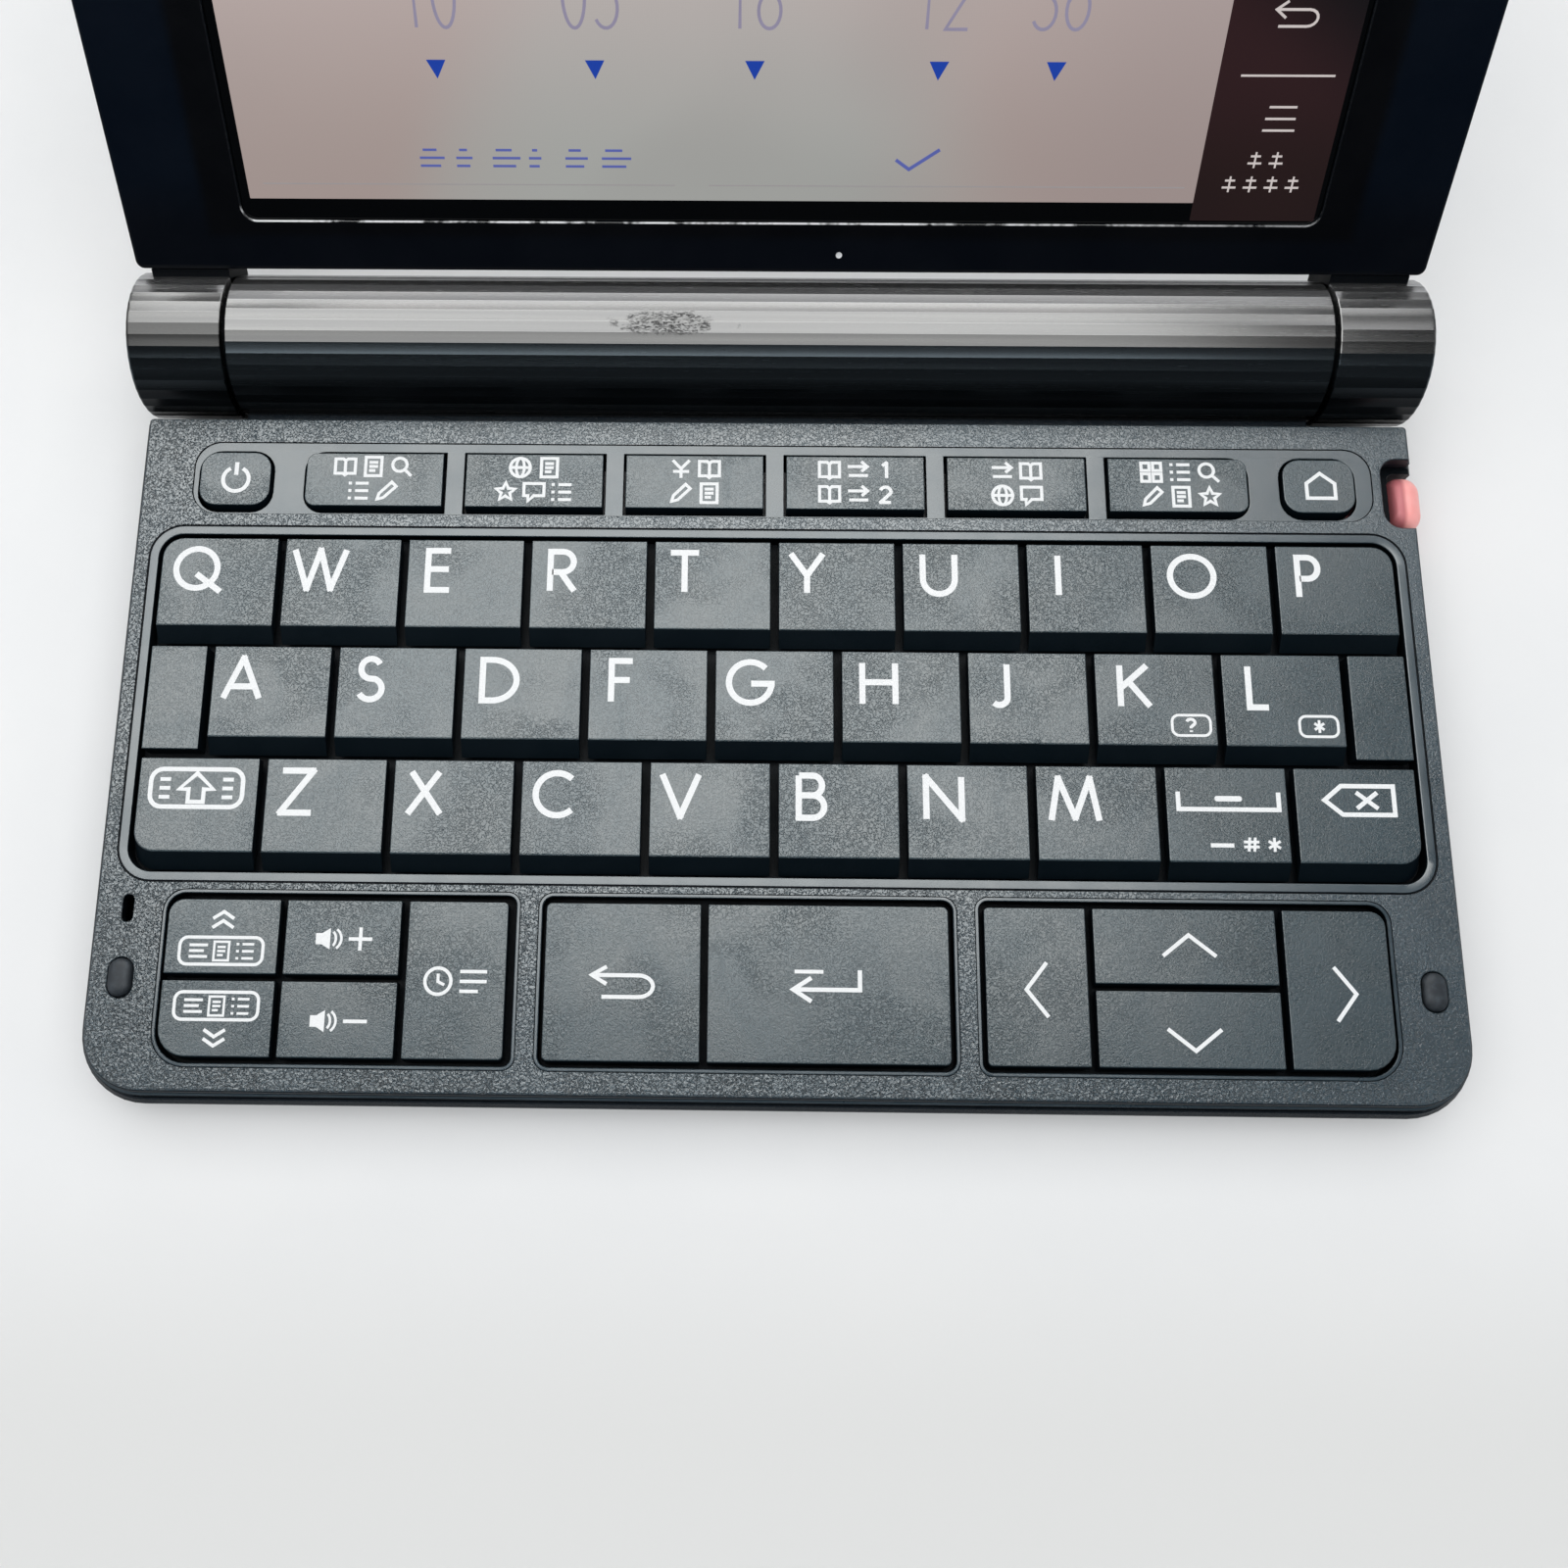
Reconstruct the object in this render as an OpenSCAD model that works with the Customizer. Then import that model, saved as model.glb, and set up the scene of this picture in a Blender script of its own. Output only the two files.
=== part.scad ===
// Pocket electronic dictionary, open at its resting angle.
// X runs along the hinge, Y runs from the front edge to the lid, Z is up.
// The origin lies on the table, under the middle of the open object's outline.

/* [Base] */
// Width across the deck
body_w = 148; // [147.5:0.1:148.5]
// Depth of the deck, from its rear edge to its front edge
deck_d = 77.5; // [77.3:0.1:78]
// Height of the deck above the table
deck_h = 8; // [7.9:0.05:8.1]
// How far the lower case flares out beyond the deck
flare = 1.2; // [0.8:0.1:1.4]
// Radius of the two front corners of the deck
corner_r = 6.5; // [5:0.5:7]
// Wall thickness of the cases
wall = 1.2; // [1:0.1:1.4]

/* [Keys] */
// Pitch between neighbouring letter keys
key_pitch = 14.2; // [14.15:0.01:14.25]
// Pitch between the letter rows
row_pitch = 13.04; // [13:0.01:13.1]
// Width of a letter key
key_w = 13.25; // [13:0.05:13.4]
// Depth of the flat top of a letter key
key_top_d = 10.45; // [10.2:0.05:10.5]
// Plan depth of the sloped front of a letter key
key_skirt = 1.95; // [1.7:0.05:2]
// Height of the key tops above the deck
key_proud = 0.35; // [0.2:0.05:0.4]

/* [Hinge barrel] */
// Radius of the barrel, measured to the corners of its facets
barrel_r = 8.2; // [8.1:0.01:8.3]
// Number of long flat facets round the barrel
facets = 40; // [36:2:44]
// Half the length of the fixed middle barrel
barrel_half = 63; // [62.8:0.1:63.1]
// Distance from the deck's rear edge back to the hinge axis
axis_back = 8.95; // [8.9:0.05:9.1]
// Radius of the pivot shafts
pivot_r = 3; // [2.8:0.1:3.2]
// Radial clearance of the pivot shafts in the barrel
pivot_play = 0.05; // [0.03:0.01:0.08]

/* [Lid] */
// Angle between the closed lid and the lid as it rests
open_angle = 127.8; // [120:0.1:130]
// Distance from the hinge axis to the lid's near edge
lid_near = 9.25; // [9.2:0.05:9.4]
// Distance from the hinge axis to the lid's far edge
lid_far = 87.5; // [87:0.1:88]
// Thickness of the lid
lid_t = 7; // [6.8:0.1:7.2]
// Half width of the display window
win_half = 60.35; // [60:0.05:60.5]

/* [Stylus] */
// Width of the flat stylus shaft
stylus_w = 5.4; // [5:0.1:5.6]
// Thickness of the stylus shaft
stylus_t = 2.8; // [2.6:0.1:2.8]
// Length of the stylus shaft inside its silo
stylus_len = 84; // [80:1:86]

/* [Hidden] */

$fn = 48;
eps = 0.02;
hw = body_w / 2;
rear = 5;                       // the deck's rear edge
front = rear - deck_d;          // the deck's front edge
axis_y = rear + axis_back;
axis_z = 8.72;
turn = 6.2;                     // turn of the barrel's facets about the axis
cap_r = barrel_r + 0.2;         // radius of the end caps
key_top = deck_h + key_proud;
cap_low = 7;                    // underside of a letter key's cap
web_top = 5.9;                  // floor of the key wells
web_low = 5.2;
stem_low = 4.7;
well_gap = 0.65;                // from the outer keys to the wall of their well
face_z = 0.16;                  // the lid's inner face above the hinge axis, when closed
split_z = 3.6;                  // where the two halves of the lid meet
charcoal = [0.16, 0.16, 0.17];
key_grey = [0.2, 0.2, 0.21];
gunmetal = [0.33, 0.33, 0.34];
ink = [0.05, 0.055, 0.08];

// ---------- plane figures ----------

// a rectangle from [x0, y0] to [x1, y1] with the corner radii [front left, front right, rear right, rear left]
module rrect(x0, y0, x1, y1, r = [0, 0, 0, 0]) {
    cx = [x0, x1, x1, x0];
    cy = [y0, y0, y1, y1];
    sx = [1, -1, -1, 1];
    sy = [1, 1, -1, -1];
    difference() {
        translate([x0, y0]) square([x1 - x0, y1 - y0]);
        for (i = [0:3]) if (r[i] > 0)
            translate([cx[i] + sx[i] * r[i], cy[i] + sy[i] * r[i]]) difference() {
                translate([sx[i] > 0 ? -r[i] - 1 : 0, sy[i] > 0 ? -r[i] - 1 : 0]) square(r[i] + 1);
                circle(r = r[i]);
            }
    }
}

module block(x0, y0, x1, y1, z0, z1, r = [0, 0, 0, 0])
    translate([0, 0, z0]) linear_extrude(z1 - z0) rrect(x0, y0, x1, y1, r);

// the outline of the base, grown by g on its sides and front and by b at its rear
module slab(g, z0, z1, b = 0)
    block(-hw - g, front - g, hw + g, rear + b, z0, z1, [corner_r + g, corner_r + g, 0.4, 0.4]);

function ring_points(r, n, turn = 0) = [for (i = [0:n - 1]) [r * cos(360 * i / n + turn), r * sin(360 * i / n + turn)]];

// a faceted prism along X about the hinge axis
module facet_bar(r, x0, x1, turn = 0)
    translate([x0, axis_y, axis_z]) rotate([90, 0, 90]) linear_extrude(x1 - x0) polygon(ring_points(r, facets, turn));

// a round bar along X about the hinge axis
module round_bar(r, x0, x1)
    translate([x0, axis_y, axis_z]) rotate([0, 90, 0]) cylinder(r = r, h = x1 - x0, $fn = 64);

// a wedge about the hinge axis, from angle a0 to a1 seen along X, 0 being towards +Y
module wedge(a0, a1, x0, x1, r = 14)
    translate([x0, axis_y, axis_z]) rotate([90, 0, 90]) linear_extrude(x1 - x0)
        polygon(concat([[0, 0]], [for (i = [0:6]) let (a = a0 + (a1 - a0) * i / 6) [r * cos(a), r * sin(a)]]));

// ---------- places of the keys ----------

row_x = [-4.5, -4, -4.5];       // first key of each letter row, in pitches from the middle
function key_x(row, col) = (row_x[row] + col) * key_pitch;
function key_y(row) = rear - 15.18 - row * row_pitch;      // the rear edge of the row's keys
well_x = 4.5 * key_pitch + key_w / 2 + well_gap;
well_rear = key_y(0) + well_gap;
well_front = key_y(2) - key_top_d - key_skirt - 0.3;
f_pitch = 18.69;
f_w = 16;
f_rear = rear - 4.45;
f_top_d = 6.55;
f_holes = [[-67.1, 8.2, 2], [58.85, 8.2, 2]];
// the flush keys of the lower clusters: [x0, x1, rear, front, radii]
low_rear = rear - 57;
low_front = rear - 73.75;
low_split = 0.38;               // half the gap between stacked keys
low_mid = (low_rear + low_front) / 2;
clusters = [[-66.15, -27.95, [3.4, 1, 1, 2]], [-25.15, 19.4, [1.2, 1.2, 1.2, 1.2]], [22.15, 66.15, [1, 3.4, 2, 1]]];
silo_y = rear - 8.4;

// ---------- base ----------

module well_walls() {
    block(-well_x - 0.9, well_front - 0.9, well_x + 0.9, well_rear + 0.9, web_low, deck_h - wall + eps, [3.6, 3.6, 3.6, 3.6]);
    for (c = clusters)
        block(c[0] - 0.9, low_front - 1.5, c[1] + 0.9, low_rear + 1.5, web_low, deck_h - wall + eps, [2, 2, 2, 2]);
}

module stem_hole(x, y, w, d) translate([x - w / 2, y - d / 2, web_low - 1]) cube([w, d, 3]);

module upper_case() color(charcoal) {
    difference() {
        union() {
            difference() {
                union() {
                    slab(0.4, 5.9, 7);
                    slab(0, 7 - eps, deck_h);
                }
                slab(-1.5, 5, deck_h - wall, -wall);
            }
            well_walls();
            // posts that take the case screws
            for (s = [-1, 1]) {
                translate([s * 69.2, rear - 70.6, 2.9]) cylinder(r = 1.8, h = 4.5);
                translate([s * 67.6, rear - 2.7, 2.9]) cylinder(r = 1.4, h = 4.5);
            }
        }
        // the main key well and the holes in its floor
        block(-well_x, well_front, well_x, well_rear, web_top, deck_h + 1, [2.8, 2.8, 2.8, 2.8]);
        for (row = [0:2]) for (col = [0:(row == 1 ? 8 : 9)])
            stem_hole(key_x(row, col), key_y(row) - 6.1, 8.6, 6.6);
        // the three lower wells
        for (c = clusters)
            block(c[0], low_front - 0.7, c[1], low_rear + 0.75, web_top, deck_h + 1, c[2]);
        for (k = [[-59.68, 1], [-46.63, 1], [-59.68, -1], [-46.63, -1], [44.15, 1], [44.15, -1]])
            stem_hole(k[0], low_mid + k[1] * 4.38, 7.6, 4.6);
        for (k = [[-34.18, 5.6], [-16.28, 9.6], [5.85, 15.6], [28.1, 5.6], [60.25, 5.6]])
            stem_hole(k[0], low_mid, k[1], 10.6);
        // the row of subject keys, with power and home at its ends
        for (i = [-2.5:1:2.5])
            block(i * f_pitch - f_w / 2 - 0.3, f_rear - f_top_d - 0.75, i * f_pitch + f_w / 2 + 0.3, f_rear + 0.35, 4, deck_h + 1,
                i < -2 ? [1.4, 0, 0, 1.4] : i > 2 ? [0, 1.4, 1.4, 0] : [0, 0, 0, 0]);
        for (h = f_holes)
            block(h[0] - 0.3, f_rear - f_top_d - 0.75, h[0] + h[1] + 0.3, f_rear + 0.35, 4, deck_h + 1, [2.3, 2.3, 2.3, 2.3]);
        // a shallow panel round that row
        difference() {
            block(-67.95, rear - 11.9, 69.2, rear - 3.05, deck_h - 0.15, deck_h + 1, [3, 3, 3, 3]);
        }
        // finger notch beside the stylus
        block(70.4, rear - 12.6, hw + 2, rear - 4.2, 4, deck_h + 1, [2, 0, 0, 1.8]);
        // microphone slot and seats of the bumpers
        block(-71.05, rear - 59.5, -69.8, rear - 56.5, 4, deck_h + 1, [0.6, 0.6, 0.6, 0.6]);
        for (s = [-1, 1])
            block(s * 70.5 - 1.4, rear - 67.7, s * 70.5 + 1.4, rear - 63.3, deck_h - 0.5, deck_h + 1, [1.35, 1.35, 1.35, 1.35]);
        // pilot holes of the case screws
        for (s = [-1, 1]) {
            translate([s * 69.2, rear - 70.6, 2]) cylinder(r = 0.8, h = 4.4);
            translate([s * 67.6, rear - 2.7, 2]) cylinder(r = 0.8, h = 4.4);
        }
    }
    // the two fixed blanks at the ends of the middle row
    for (s = [-1, 1])
        block(s > 0 ? 64.35 : -well_x + 0.5, key_y(1) - 12, s > 0 ? well_x - 0.5 : -64.35, key_y(1), web_top - eps, key_top);
}

module lower_case() color(charcoal) {
    difference() {
        union() {
            difference() {
                union() {
                    slab(-1, 0.8, 1.6);
                    slab(0.2, 1.6 - eps, 2.6);
                    slab(flare, 2.6 - eps, 5.2);
                    slab(0.8, 5.2 - eps, 5.6);
                    slab(-0.3, 5.6 - eps, 5.9);
                }
                slab(-1.5, 1.8, 2.7, -wall);
                slab(-0.6, 2.7 - eps, 7, -wall);
            }
            // the tunnel of the stylus, and the floor of the finger notch
            translate([-16, silo_y - 3.6, 1.8 - eps]) cube([16 + hw - 0.6, 7.2, 3.5]);
            block(66, rear - 13, hw + 0.8, rear - 4.12, 1.8 - eps, 5.3);
            // posts under the screw posts of the upper case
            for (s = [-1, 1]) {
                translate([s * 69.2, rear - 70.6, 1.8 - eps]) cylinder(r = 1.9, h = 1.1 + eps);
                translate([s * 67.6, rear - 2.7, 1.8 - eps]) cylinder(r = 1.4, h = 1.1 + eps);
            }
            // low ribs that carry the circuit board
            for (y = [-20, -36, -52]) translate([-66, y, 1.8 - eps]) cube([132, 1, 0.2 + eps]);
        }
        // the silo itself, open at the right-hand side
        translate([-14, silo_y - stylus_w / 2 - 0.15, 1.85 - 0.15]) cube([100, stylus_w + 0.3, stylus_t + 0.3]);
        // the finger notch, where the stylus head rests
        block(72.2, silo_y - 3.6, hw + 3, silo_y + 3.6, 1.55, 7, [0.8, 0, 0, 0.8]);
        // opening in the rear wall for the neck of the barrel
        translate([-62.8, rear - 4, 2.2]) cube([125.6, 8, 4]);
        // holes of the case screws
        for (s = [-1, 1]) {
            translate([s * 69.2, rear - 70.6, 0]) cylinder(r = 1.05, h = 4);
            translate([s * 69.2, rear - 70.6, 0]) cylinder(r = 1.85, h = 1.6);
            translate([s * 67.6, rear - 2.7, 0]) cylinder(r = 1.05, h = 4);
            translate([s * 67.6, rear - 2.7, 0]) cylinder(r = 1.75, h = 1.6);
        }
        // seat of the loudspeaker, and its slots
        translate([-42, rear - 64, 1.3]) cylinder(r = 8.2, h = 2);
        for (i = [0:5]) translate([-48 + i * 2.4, rear - 69, 0]) cube([1, 10, 3]);
        // seats of the front feet
        for (s = [-1, 1]) translate([s * 58, rear - 68, 0]) cylinder(r = 4.1, h = 1);
    }
}

// board, key mat with its domes, switch strip under the subject keys, loudspeaker and case screws
module board_speaker_screws() color("darkgreen") {
    block(-66.8, rear - 73.6, 66.8, rear - 13.1, 2, 2.8);
    block(-66.8, rear - 73.5, 66.8, rear - 13.2, 2.81, 3.1);
    for (row = [0:2]) for (col = [0:(row == 1 ? 8 : 9)])
        translate([key_x(row, col), key_y(row) - 6.1, 3.1 - eps]) cylinder(r1 = 2.4, r2 = 1.6, h = 0.35);
    block(-66.9, silo_y - 3, 66.9, silo_y + 3, 5.4, 5.8);
    for (i = [-2.5:1:2.5]) translate([i * f_pitch, silo_y, 5.8 - eps]) cylinder(r1 = 2, r2 = 1.5, h = 0.12);
    // loudspeaker disc
    translate([-42, rear - 64, 1.3]) cylinder(r = 8, h = 0.6);
    // case screws
    for (s = [-1, 1]) for (p = [[69.2, rear - 70.6, 1.7], [67.6, rear - 2.7, 1.6]])
        translate([s * p[0], p[1], 0]) difference() {
            union() {
                translate([0, 0, 0.95]) cylinder(r = p[2], h = 0.65);
                translate([0, 0, 1.5]) cylinder(r = 0.76, h = 4.3);
            }
            for (a = [0, 90]) rotate([0, 0, a]) translate([-0.8, -0.16, 0.5]) cube([1.6, 0.32, 0.8]);
        }
}

// round front feet, rear pads under the barrel and the two bumpers on the deck
module feet_and_bumpers() color([0.09, 0.09, 0.1]) {
    for (s = [-1, 1]) {
        translate([s * 58, rear - 68, 0]) cylinder(r = 3.9, h = 1);
        difference() {
            translate([s * 55.5 - 5, axis_y - 2.4, 0]) cube([10, 4.8, 1.4]);
            facet_bar(barrel_r, s * 55.5 - 6, s * 55.5 + 6, turn);
        }
        block(s * 70.5 - 1.3, rear - 67.6, s * 70.5 + 1.3, rear - 63.4, deck_h - 0.5, deck_h + 0.65, [1.3, 1.3, 1.3, 1.3]);
    }
}

// ---------- hinge barrel and batteries ----------

door_x0 = -47.3;
door_x1 = 42.6;

module hinge_barrel() color(gunmetal) {
    difference() {
        union() {
            facet_bar(barrel_r, -barrel_half, barrel_half, turn);
            // neck that joins the barrel to the base
            translate([-62.7, rear, 2.4]) cube([125.4, 4, 4.7]);
            translate([-62.7, rear - 3.7, 2.4]) cube([125.4, 4, 2.4]);
        }
        // chamber of the two cells
        round_bar(6.5, -48.6, 46.9);
        // bearings of the lid's pivots
        round_bar(pivot_r + pivot_play, 52, 70);
        round_bar(pivot_r + pivot_play, -70, -52);
        // opening of the battery door, and the thumb recess beside it
        wedge(-140, -40, door_x0 - 0.25, 46.8);
    }
    // floor of the thumb recess
    intersection() {
        difference() {
            round_bar(6.52, 42.9, 47);
            round_bar(5.7, 42, 49);
        }
        wedge(-146, -34, 42, 50);
    }
}

module battery_door() color(gunmetal) {
    intersection() {
        difference() {
            facet_bar(barrel_r, door_x0, door_x1, turn);
            round_bar(6.68, -50, 50);
        }
        wedge(-139, -41, -60, 60);
    }
    // tongues that hook behind the edges of the opening
    for (x = [-44, -18, 8, 34]) for (a = [-150, -43])
        intersection() {
            difference() {
                round_bar(6.3, x, x + 3);
                round_bar(5.6, x - 1, x + 4);
            }
            wedge(a, a + 13, x - 1, x + 4);
        }
    for (x = [-44, -18, 8, 34]) for (a = [-139, -43])
        intersection() {
            difference() {
                round_bar(6.8, x, x + 3);
                round_bar(5.6, x - 1, x + 4);
            }
            wedge(a, a + 2, x - 1, x + 4);
        }
}

// two AAA cells end to end, a coil contact and a plate contact
module cells_and_contacts() color("steelblue") {
    for (x = [-41.5, 2.52]) {
        round_bar(5.15, x, x + 43.2);
        round_bar(1.9, x + 43.2 - eps, x + 44);
    }
    round_bar(4.6, 46.54, 46.9);
    round_bar(4.6, -48.6, -48.2);
    for (i = [0:4])
        translate([-47.8 + i * 1.45, axis_y, axis_z]) rotate([0, 90, 0])
            rotate_extrude() translate([4.4 - i * 0.5, 0]) circle(r = 0.35, $fn = 16);
}

// ---------- lid ----------

// turns what is drawn for the closed lid, about the hinge axis, into the resting place
module as_open() translate([0, axis_y, axis_z]) rotate([-open_angle, 0, 0]) children();

// the lid's outline in its closed place, shrunk by g
module lid_slab(g, z0, z1)
    block(-hw + g, -lid_far + g, hw - g, -lid_near - g, z0, z1, [6.5 - g, 6.5 - g, max(0.2, 1 - g), max(0.2, 1 - g)]);

// pockets in the lid for the tongues of the end caps
module tongue_room() for (s = [-1, 1])
    translate([s * 68.25 - 4, -16.5, 1.5]) cube([8, 12, 4.5]);

module lid_bezel() color(ink) as_open() {
    difference() {
        lid_slab(0, face_z, split_z);
        lid_slab(1.4, face_z + 1.4, split_z + 1);
        block(-win_half, -82.5, win_half, -15.05, -1, 3, [1.5, 1.5, 1.5, 1.5]);
        tongue_room();
    }
}

module lid_back_cover() color(ink) as_open() {
    difference() {
        union() {
            lid_slab(0, split_z, 5.8);
            lid_slab(0.5, 5.8 - eps, 6.6);
            lid_slab(1.4, 6.6 - eps, face_z + lid_t);
        }
        lid_slab(1.4, split_z - 1, 6);
        tongue_room();
    }
}

// glass window and the display panel behind it
module display_module() color([0.55, 0.53, 0.53]) as_open() {
    block(-win_half + 0.1, -82.4, win_half - 0.1, -15.15, face_z + 0.1, 1.5, [1.4, 1.4, 1.4, 1.4]);
    block(-61.8, -84, 61.8, -13, 1.6, 3.4);
}

// the faceted caps that turn with the lid, each with its pivot shaft, arm and tongue
module hinge_end_caps() color(gunmetal) for (s = [-1, 1]) mirror([s > 0 ? 0 : 1, 0, 0]) {
    difference() {
        union() {
            facet_bar(cap_r, 63.4, 73.9, 1.1);
            facet_bar(cap_r - 0.3, 73.9 - eps, 74.2, 1.1);
            round_bar(7.3, 63.15, 63.5);
            round_bar(pivot_r, 52.6, 64.4);
            as_open() {
                translate([61.4, -lid_near, 0.4]) cube([11, lid_near - 3.9, 6.5]);
                translate([64.4, -16, face_z + 1.4]) cube([7.7, 9, 6 - face_z - 1.4]);
            }
        }
        // room over the end of the fixed barrel
        difference() {
            round_bar(8.45, 60, 63.4);
            round_bar(7.3, 63.15, 64.4);
            round_bar(pivot_r, 52, 64.4);
        }
        // the head of the hinge screw
        round_bar(2.2, 73.5, 75);
    }
}

// ---------- stylus ----------

module stylus() color([0.93, 0.5, 0.5]) {
    z0 = 1.85;
    // shaft, with its writing tip
    translate([-8, silo_y - stylus_w / 2, z0]) cube([stylus_len - 3, stylus_w, stylus_t]);
    translate([-8 + eps, silo_y, z0 + stylus_t / 2]) rotate([0, -90, 0]) cylinder(r1 = 1.35, r2 = 0.6, h = 5, $fn = 32);
    // head
    block(72.45, silo_y - 3.3, 76.3, silo_y + 3.3, z0, z0 + 4.3, [0.8, 1.6, 1.6, 0.8]);
}

// ---------- keys ----------

// a cap from x0 to x1 whose flat top runs from rear to rear - d, with a sloped front of plan depth skirt
module cap(x0, x1, y_rear, d, skirt, z0, r = [0, 0, 0, 0])
    intersection() {
        block(x0, y_rear - d - skirt, x1, y_rear, z0, key_top, r);
        translate([x0 - 1, 0, 0]) rotate([90, 0, 90]) linear_extrude(x1 - x0 + 2)
            polygon([[y_rear + 1, z0 - 1], [y_rear + 1, key_top + 1], [y_rear - d, key_top + 1], [y_rear - d, key_top], [y_rear - d - skirt, z0], [y_rear - d - skirt, z0 - 1]]);
    }

module stem(x, y, w, d) translate([x - w / 2, y - d / 2, stem_low]) cube([w, d, cap_low - stem_low + eps]);

module letter_key(row, col, r = [0, 0, 0, 0], bar = false) color(key_grey) {
    x = key_x(row, col);
    cap(x - key_w / 2, x + key_w / 2, key_y(row), key_top_d, key_skirt, cap_low, r);
    stem(x, key_y(row) - 6.1, 8, 6);
    if (bar) translate([x - 1.15, key_y(row) - key_top_d - 0.1, key_top - 0.3]) cube([2.3, 0.6, 0.42]);
}

module subject_key(i, r = [0, 0, 0, 0]) color(key_grey)
    cap((i - 3.5) * f_pitch - f_w / 2, (i - 3.5) * f_pitch + f_w / 2, f_rear, f_top_d, 0.4, 6.75, r);

module side_key(x) color(key_grey)
    cap(x, x + 8.2, f_rear, f_top_d, 0.4, 6.75, [2, 2, 2, 2]);

module low_key(x0, x1, y0, y1, r = [0, 0, 0, 0], w = 7, d = 4) color(key_grey) {
    cap(x0, x1, y0, y0 - y1, 0.25, cap_low, r);
    stem((x0 + x1) / 2, (y0 + y1) / 2 - 0.0, w, d);
}

module key_q() letter_key(0, 0, [0, 0, 0, 2.3]);
module key_w() letter_key(0, 1);
module key_e() letter_key(0, 2);
module key_r() letter_key(0, 3);
module key_t() letter_key(0, 4);
module key_y_() letter_key(0, 5);
module key_u() letter_key(0, 6);
module key_i() letter_key(0, 7);
module key_o() letter_key(0, 8);
module key_p() letter_key(0, 9, [0, 0, 2.3, 0]);
module key_a() letter_key(1, 0);
module key_s() letter_key(1, 1);
module key_d() letter_key(1, 2);
module key_f() letter_key(1, 3, bar = true);
module key_g() letter_key(1, 4);
module key_h() letter_key(1, 5);
module key_j() letter_key(1, 6, bar = true);
module key_k() letter_key(1, 7);
module key_l() letter_key(1, 8);
module key_shift() letter_key(2, 0, [2.3, 0, 0, 0]);
module key_z() letter_key(2, 1);
module key_x_() letter_key(2, 2);
module key_c() letter_key(2, 3);
module key_v() letter_key(2, 4);
module key_b() letter_key(2, 5);
module key_n() letter_key(2, 6);
module key_m() letter_key(2, 7);
module key_space() letter_key(2, 8);
module key_delete() letter_key(2, 9, [0, 2.3, 0, 0]);
module key_power() side_key(f_holes[0][0]);
module key_home() side_key(f_holes[1][0]);
module key_f1() subject_key(1, [1.2, 0, 0, 1.2]);
module key_f2() subject_key(2);
module key_f3() subject_key(3);
module key_f4() subject_key(4);
module key_f5() subject_key(5);
module key_f6() subject_key(6, [0, 1.2, 1.2, 0]);
module key_previous() low_key(-65.75, -53.6, low_rear, low_mid + low_split, [0, 0, 0, 1.6]);
module key_next() low_key(-65.75, -53.6, low_mid - low_split, low_front, [3, 0, 0, 0]);
module key_volume_up() low_key(-52.85, -40.4, low_rear, low_mid + low_split);
module key_volume_down() low_key(-52.85, -40.4, low_mid - low_split, low_front);
module key_history() low_key(-39.55, -28.8, low_rear, low_front, [0, 0.5, 0.5, 0], 5, 10);
module key_back() low_key(-24.65, -7.9, low_rear, low_front, [0.6, 0, 0, 0.6], 9, 10);
module key_enter() low_key(-7.1, 18.8, low_rear, low_front, [0, 0.6, 0.6, 0], 15, 10);
module key_left() low_key(22.65, 33.55, low_rear, low_front, [0.5, 0, 0, 0.5], 5, 10);
module key_up() low_key(34.35, 53.95, low_rear, low_mid + low_split);
module key_down() low_key(34.35, 53.95, low_mid - low_split, low_front);
module key_right() low_key(54.75, 65.75, low_rear, low_front, [0, 3, 1.6, 0], 5, 10);

upper_case();
lower_case();
board_speaker_screws();
feet_and_bumpers();
hinge_barrel();
battery_door();
cells_and_contacts();
hinge_end_caps();
lid_bezel();
lid_back_cover();
display_module();
stylus();
key_q();
key_w();
key_e();
key_r();
key_t();
key_y_();  // key_y
key_u();
key_i();
key_o();
key_p();
key_a();
key_s();
key_d();
key_f();
key_g();
key_h();
key_j();
key_k();
key_l();
key_shift();
key_z();
key_x_();  // key_x
key_c();
key_v();
key_b();
key_n();
key_m();
key_space();
key_delete();
key_power();
key_f1();
key_f2();
key_f3();
key_f4();
key_f5();
key_f6();
key_home();
key_previous();
key_next();
key_volume_up();
key_volume_down();
key_history();
key_back();
key_enter();
key_left();
key_up();
key_down();
key_right();
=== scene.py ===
# Looks of the pocket electronic dictionary. Lengths in the making functions are millimetres in the part's own frame.
import bpy, bmesh, math
from math import sin, cos, tan, pi, radians, sqrt, atan2, hypot
from mathutils import Vector, Matrix
from mathutils.geometry import tessellate_polygon


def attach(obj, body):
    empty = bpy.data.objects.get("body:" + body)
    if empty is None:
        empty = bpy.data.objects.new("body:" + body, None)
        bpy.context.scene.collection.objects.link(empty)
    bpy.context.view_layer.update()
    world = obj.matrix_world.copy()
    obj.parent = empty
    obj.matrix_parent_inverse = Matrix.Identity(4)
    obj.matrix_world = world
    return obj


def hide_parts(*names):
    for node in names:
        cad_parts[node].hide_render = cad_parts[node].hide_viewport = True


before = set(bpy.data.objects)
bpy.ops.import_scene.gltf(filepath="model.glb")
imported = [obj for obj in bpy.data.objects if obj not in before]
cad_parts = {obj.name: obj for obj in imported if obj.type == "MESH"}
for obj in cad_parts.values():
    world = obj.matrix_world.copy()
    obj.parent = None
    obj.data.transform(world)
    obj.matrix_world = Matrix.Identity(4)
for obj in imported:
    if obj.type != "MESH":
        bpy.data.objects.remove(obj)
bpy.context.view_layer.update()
MM = 0.001
HW, REAR, FRONT = 74.0, 5.0, -72.5
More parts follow.
